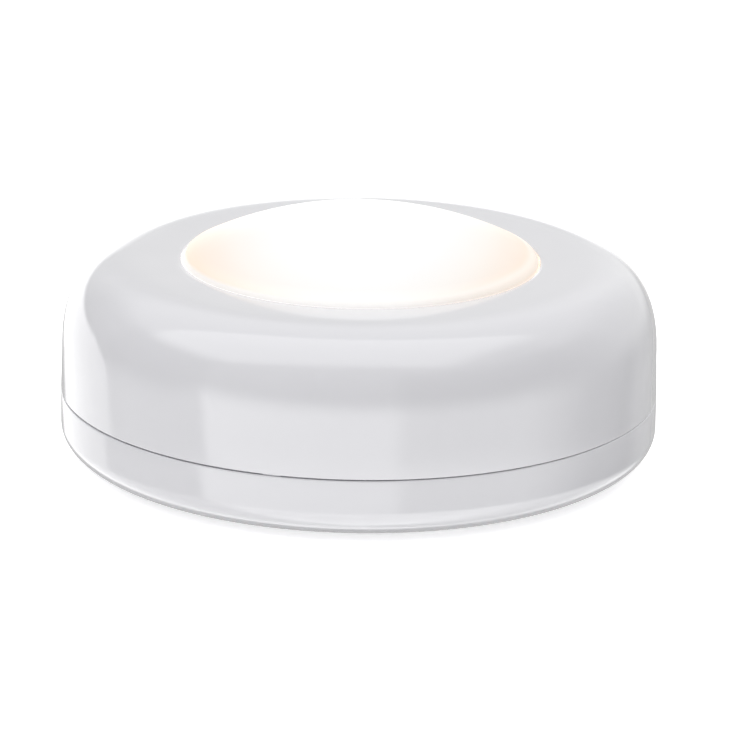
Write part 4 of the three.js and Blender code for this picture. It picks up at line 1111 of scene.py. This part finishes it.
def make_inside():
    """Everything that the shells hold."""
    nickel = metal("nickel_plate", (0.56, 0.54, 0.50), (0.63, 0.61, 0.57), 0.26)
    zinc = metal("zinc_steel", (0.44, 0.45, 0.47), (0.54, 0.55, 0.57), 0.34)
    solder = metal("solder_tin", (0.60, 0.60, 0.61), (0.70, 0.70, 0.71), 0.3, 0.2 * MM, 0.006 * MM)
    tin = metal("land_tin", (0.62, 0.60, 0.56), (0.72, 0.70, 0.66), 0.32)
    red = plastic("wire_red_skin", (0.46, 0.014, 0.012), (0.55, 0.022, 0.018), 0.42)
    black = plastic("wire_black_skin", (0.010, 0.010, 0.011), (0.018, 0.018, 0.020), 0.42)
    ceramic = plastic("led_case_white", (0.82, 0.82, 0.80), (0.88, 0.88, 0.86), 0.4)
    chip = plastic("chip_black", (0.012, 0.012, 0.014), (0.022, 0.022, 0.025), 0.45)
    casing = plastic("switch_black", (0.016, 0.016, 0.018), (0.028, 0.028, 0.031), 0.42)
    knob = plastic("plunger_white", (0.80, 0.80, 0.77), (0.86, 0.86, 0.83), 0.36)
    tray = plastic("chassis_white", (0.68, 0.68, 0.65), (0.74, 0.74, 0.71), 0.44, 0.35 * MM, 0.006 * MM)
    dress("chassis", tray, CHASSIS_BEVEL)
    dress("led_board", board_white(), BOARD_BEVEL)
    for name in ("contact_positive", "contact_link_right", "contact_link_left", "contact_negative"):
        dress(name, nickel, CONTACT_BEVEL)
    make_cells(cell_film(), nickel)
    make_springs(nickel)
    make_wires([red, black], solder)
    make_leds(ceramic, led_gel(), nickel)
    make_resistors(chip, nickel)
    make_switch(casing, nickel, solder, knob)
    make_lands(tin)
    make_screws(CHASSIS_SCREWS, CHASSIS_SCREW, DECK_FOOT_Z, UPSIDE_DOWN, zinc)
    make_screws(BOARD_SCREWS, BOARD_SCREW, BOARD_TOP_Z, np.eye(3), zinc)


def set_camera():
    """The camera at the photograph's angle, distance and lean."""
    elevation, roll = math.radians(CAMERA_ELEVATION), math.radians(CAMERA_ROLL)
    back = Vector((0, -math.cos(elevation), math.sin(elevation)))
    level, rise = Vector((1, 0, 0)), Vector((0, math.sin(elevation), math.cos(elevation)))
    right = level * math.cos(roll) + rise * math.sin(roll)
    up = rise * math.cos(roll) - level * math.sin(roll)
    target = Vector((0, 0, CAMERA_TARGET_Z))
    place = target + back * CAMERA_DISTANCE
    away = (place - target - right * AIM_RIGHT + up * AIM_BELOW).normalized()
    right = up.cross(away).normalized()
    up = away.cross(right)
    data = bpy.data.cameras.new("camera")
    data.lens = CAMERA_LENS
    data.clip_start, data.clip_end = 0.01, 20
    camera = bpy.data.objects.new("camera", data)
    camera.matrix_world = Matrix.Translation(place) @ Matrix((right, up, away)).transposed().to_4x4()
    bpy.context.scene.collection.objects.link(camera)
    bpy.context.scene.camera = camera


# The studio: brightness by direction. Azimuth is 0 at the front and grows to the right.
# Each list gives azimuths and the brightness there: below the table's edge, on the table and on the wall
UNDER_LIGHT = [(-180, 2.0), (-150, 1.9), (-112, 1.65), (-80, 1.8), (-62, 2.1), (-50, 3.1), (13, 3.2),
               (56, 3.2), (70, 2.7), (90, 2.0), (115, 1.4), (140, 1.5), (180, 2.0)]
TABLE_LIGHT = [(-180, 1.55), (-113.5, 1.5), (-110.5, 0.95), (-95, 1.1), (-63, 1.15), (-59, 2.45),
               (13, 2.4), (19, 1.6), (66, 1.6), (98, 0.4), (125, 0.32), (135, 0.55), (146, 0.58),
               (154, 0.56), (166, 0.6), (175, 1.55), (180, 1.55)]
WALL_LIGHT = [(-180, 0.69), (-170, 0.63), (-160, 0.66), (-140, 0.45), (-113.5, 0.45), (-110.5, 0.32),
              (-63, 0.30), (-59, 0.56), (13, 0.56), (19, 0.24), (84, 0.24), (122, 0.80), (145, 0.84),
              (163, 0.95), (173, 0.82), (180, 0.69)]
# Where the table's light ends and the wall's begins, and how softly
HORIZON = [(-180, 14), (-165, 9.5), (-147, 6), (-121, 0), (-113, -8), (-75, -8), (-62, 0), (-57, -2),
           (90, -3), (125, -3), (150, -5), (166, -1), (180, 12)]
HORIZON_SOFTNESS = [(-180, 2), (-114, 2), (-108, 10), (-66, 8), (-56, 10), (90, 10), (125, 8), (150, 5),
                    (180, 3)]
# The heights at which the table's light takes over from what is below it, and the high light from the wall
TABLE_START, TABLE_FULL = -34.0, -20.0
HIGH_START, HIGH_FULL = 25.0, 40.0
HIGH_FRONT_LEVEL = 0.65
HIGH_BACK_LEVEL = 0.91
CEILING_LEVEL = 1.73
HIGH_BORDER = 0.2
# The ceiling panel's sides, as distances across and back for each unit of height
CEILING_LEFT, CEILING_RIGHT, CEILING_SIDE_SOFTNESS = -1.9, 0.75, 0.22
CEILING_FRONT, CEILING_BACK = -0.85, 0.33
CEILING_FRONT_SOFTNESS, CEILING_BACK_SOFTNESS = 0.22, 0.05
LEAST_HEIGHT = 0.02
# The object's own shade on the table behind it, which only the steepest views of its edges reflect
SHADE_LEVEL = 0.55
SHADE_ELEVATION = -38
SHADE_HALF_WIDTH = 27
SHADE_SOFTNESS = 3


class Studio(Finish):
    """The world's node tree, with the same short ways."""

    def __init__(self):
        self.world = bpy.data.worlds.new("studio")
        self.world.use_nodes = True
        self.tree = self.world.node_tree
        self.tree.nodes.clear()
        self.place = self.add("ShaderNodeTexCoord").outputs["Generated"]

    def band(self, value, start, start_soft, end, end_soft):
        """1 between two values and 0 outside, with soft borders."""
        rise = self.spread(value, start - start_soft, start + start_soft, 0.0, 1.0, True)
        fall = self.spread(value, end - end_soft, end + end_soft, 1.0, 0.0, True)
        return self.sum("MULTIPLY", rise, fall)

    def by_azimuth(self, turn, stops):
        """A value that follows the azimuth through a list of azimuths and values."""
        least, most = (pick(value for _, value in stops) for pick in (min, max))
        shares = [(angle / 360 + 0.5, ((value - least) / (most - least),) * 3) for angle, value in stops]
        return self.spread(self.ramp(turn, shares), 0.0, 1.0, least, most)

    def between(self, share, first, second):
        """A value between two others."""
        made = self.add("ShaderNodeMix")
        for i, value in ((0, share), (2, first), (3, second)):
            self.feed(made, i, value)
        return made.outputs[0]


def light_studio():
    """Soft light from a ceiling panel, the walls and the table, and plain white for the camera."""
    s = Studio()
    split = s.add("ShaderNodeSeparateXYZ")
    s.join(s.place, split.inputs[0])
    x, y, z = split.outputs
    turn = s.sum("ADD", s.sum("DIVIDE", s.sum("ARCTAN2", x, s.sum("MULTIPLY", y, -1.0)), 2 * math.pi), 0.5)
    rise = s.sum("DEGREES", s.sum("ARCSINE", z))
    height = s.sum("MAXIMUM", z, LEAST_HEIGHT)
    beside = s.sum("DIVIDE", x, height)
    behind = s.sum("DIVIDE", y, height)
    across = s.band(beside, CEILING_LEFT, CEILING_SIDE_SOFTNESS, CEILING_RIGHT, CEILING_SIDE_SOFTNESS)
    back = s.band(behind, CEILING_FRONT, CEILING_FRONT_SOFTNESS, CEILING_BACK, CEILING_BACK_SOFTNESS)
    high_level = s.spread(behind, -HIGH_BORDER, HIGH_BORDER, HIGH_FRONT_LEVEL, HIGH_BACK_LEVEL)
    high_level = s.between(s.sum("MULTIPLY", across, back), high_level, CEILING_LEVEL)
    under, table, wall = (s.by_azimuth(turn, stops) for stops in (UNDER_LIGHT, TABLE_LIGHT, WALL_LIGHT))
    lower = s.between(s.spread(rise, TABLE_START, TABLE_FULL, 0.0, 1.0, True), under, table)
    soft = s.by_azimuth(turn, HORIZON_SOFTNESS)
    over = s.sum("DIVIDE", s.sum("SUBTRACT", rise, s.by_azimuth(turn, HORIZON)), soft)
    lower = s.between(s.spread(over, -1.0, 1.0, 0.0, 1.0, True), lower, wall)
    level = s.between(s.spread(rise, HIGH_START, HIGH_FULL, 0.0, 1.0, True), lower, high_level)
    tilt = math.radians(SHADE_ELEVATION)
    off_shade = s.sum("ADD", s.sum("MULTIPLY", y, math.cos(tilt)), s.sum("MULTIPLY", z, math.sin(tilt)))
    off_shade = s.sum("DEGREES", s.sum("ARCCOSINE", off_shade))
    inner, outer = SHADE_HALF_WIDTH - SHADE_SOFTNESS, SHADE_HALF_WIDTH + SHADE_SOFTNESS
    level = s.between(s.spread(off_shade, inner, outer, 0.0, 1.0, True), SHADE_LEVEL, level)
    light, white = s.add("ShaderNodeBackground"), s.add("ShaderNodeBackground")
    for source in (light, white):
        source.inputs["Color"].default_value = (1, 1, 1, 1)
    s.join(level, light.inputs["Strength"])
    seen = s.add("ShaderNodeLightPath").outputs["Is Camera Ray"]
    mix = s.add("ShaderNodeMixShader")
    for i, source in enumerate((seen, light.outputs[0], white.outputs[0])):
        s.join(source, mix.inputs[i])
    s.join(mix.outputs[0], s.add("ShaderNodeOutputWorld").inputs["Surface"])
    bpy.context.scene.world = s.world


# The floor, and the light of its own that makes it white for the camera
FLOOR_HALF = 3.0
FLOOR_LIFT = 0.55


def lay_floor():
    """Pale floor that goes white for the camera and keeps the light's soft shadow."""
    corners = np.array([(-1, -1, 0), (1, -1, 0), (1, 1, 0), (-1, 1, 0)]) * FLOOR_HALF
    mesh = bpy.data.meshes.new("floor")
    mesh.from_pydata(corners.tolist(), [], [(0, 1, 2, 3)])
    floor = bpy.data.objects.new("floor", mesh)
    bpy.context.scene.collection.objects.link(floor)
    f = Finish("floor_paper")
    f.set(Base_Color=f.tint(f.noise(0.2, 2.0), (0.92, 0.92, 0.92), (0.94, 0.94, 0.94)), Roughness=0.9)
    f.set(Specular_IOR_Level=0.0, Emission_Color=(1, 1, 1, 1))
    path = f.add("ShaderNodeLightPath")
    seen = f.sum("MAXIMUM", path.outputs["Is Camera Ray"], path.outputs["Is Transmission Ray"])
    f.set(Emission_Strength=f.sum("MULTIPLY", seen, FLOOR_LIFT))
    mesh.materials.append(f.material)
    floor.visible_glossy = False


set_camera()
light_studio()
lay_floor()
white = gloss_white()
make_housing(white)
make_base(white)
make_lens(lens_milk())
make_pad(foam_white())
make_inside()

bpy.context.scene.view_settings.view_transform = "Standard"
bpy.context.view_layer.update()
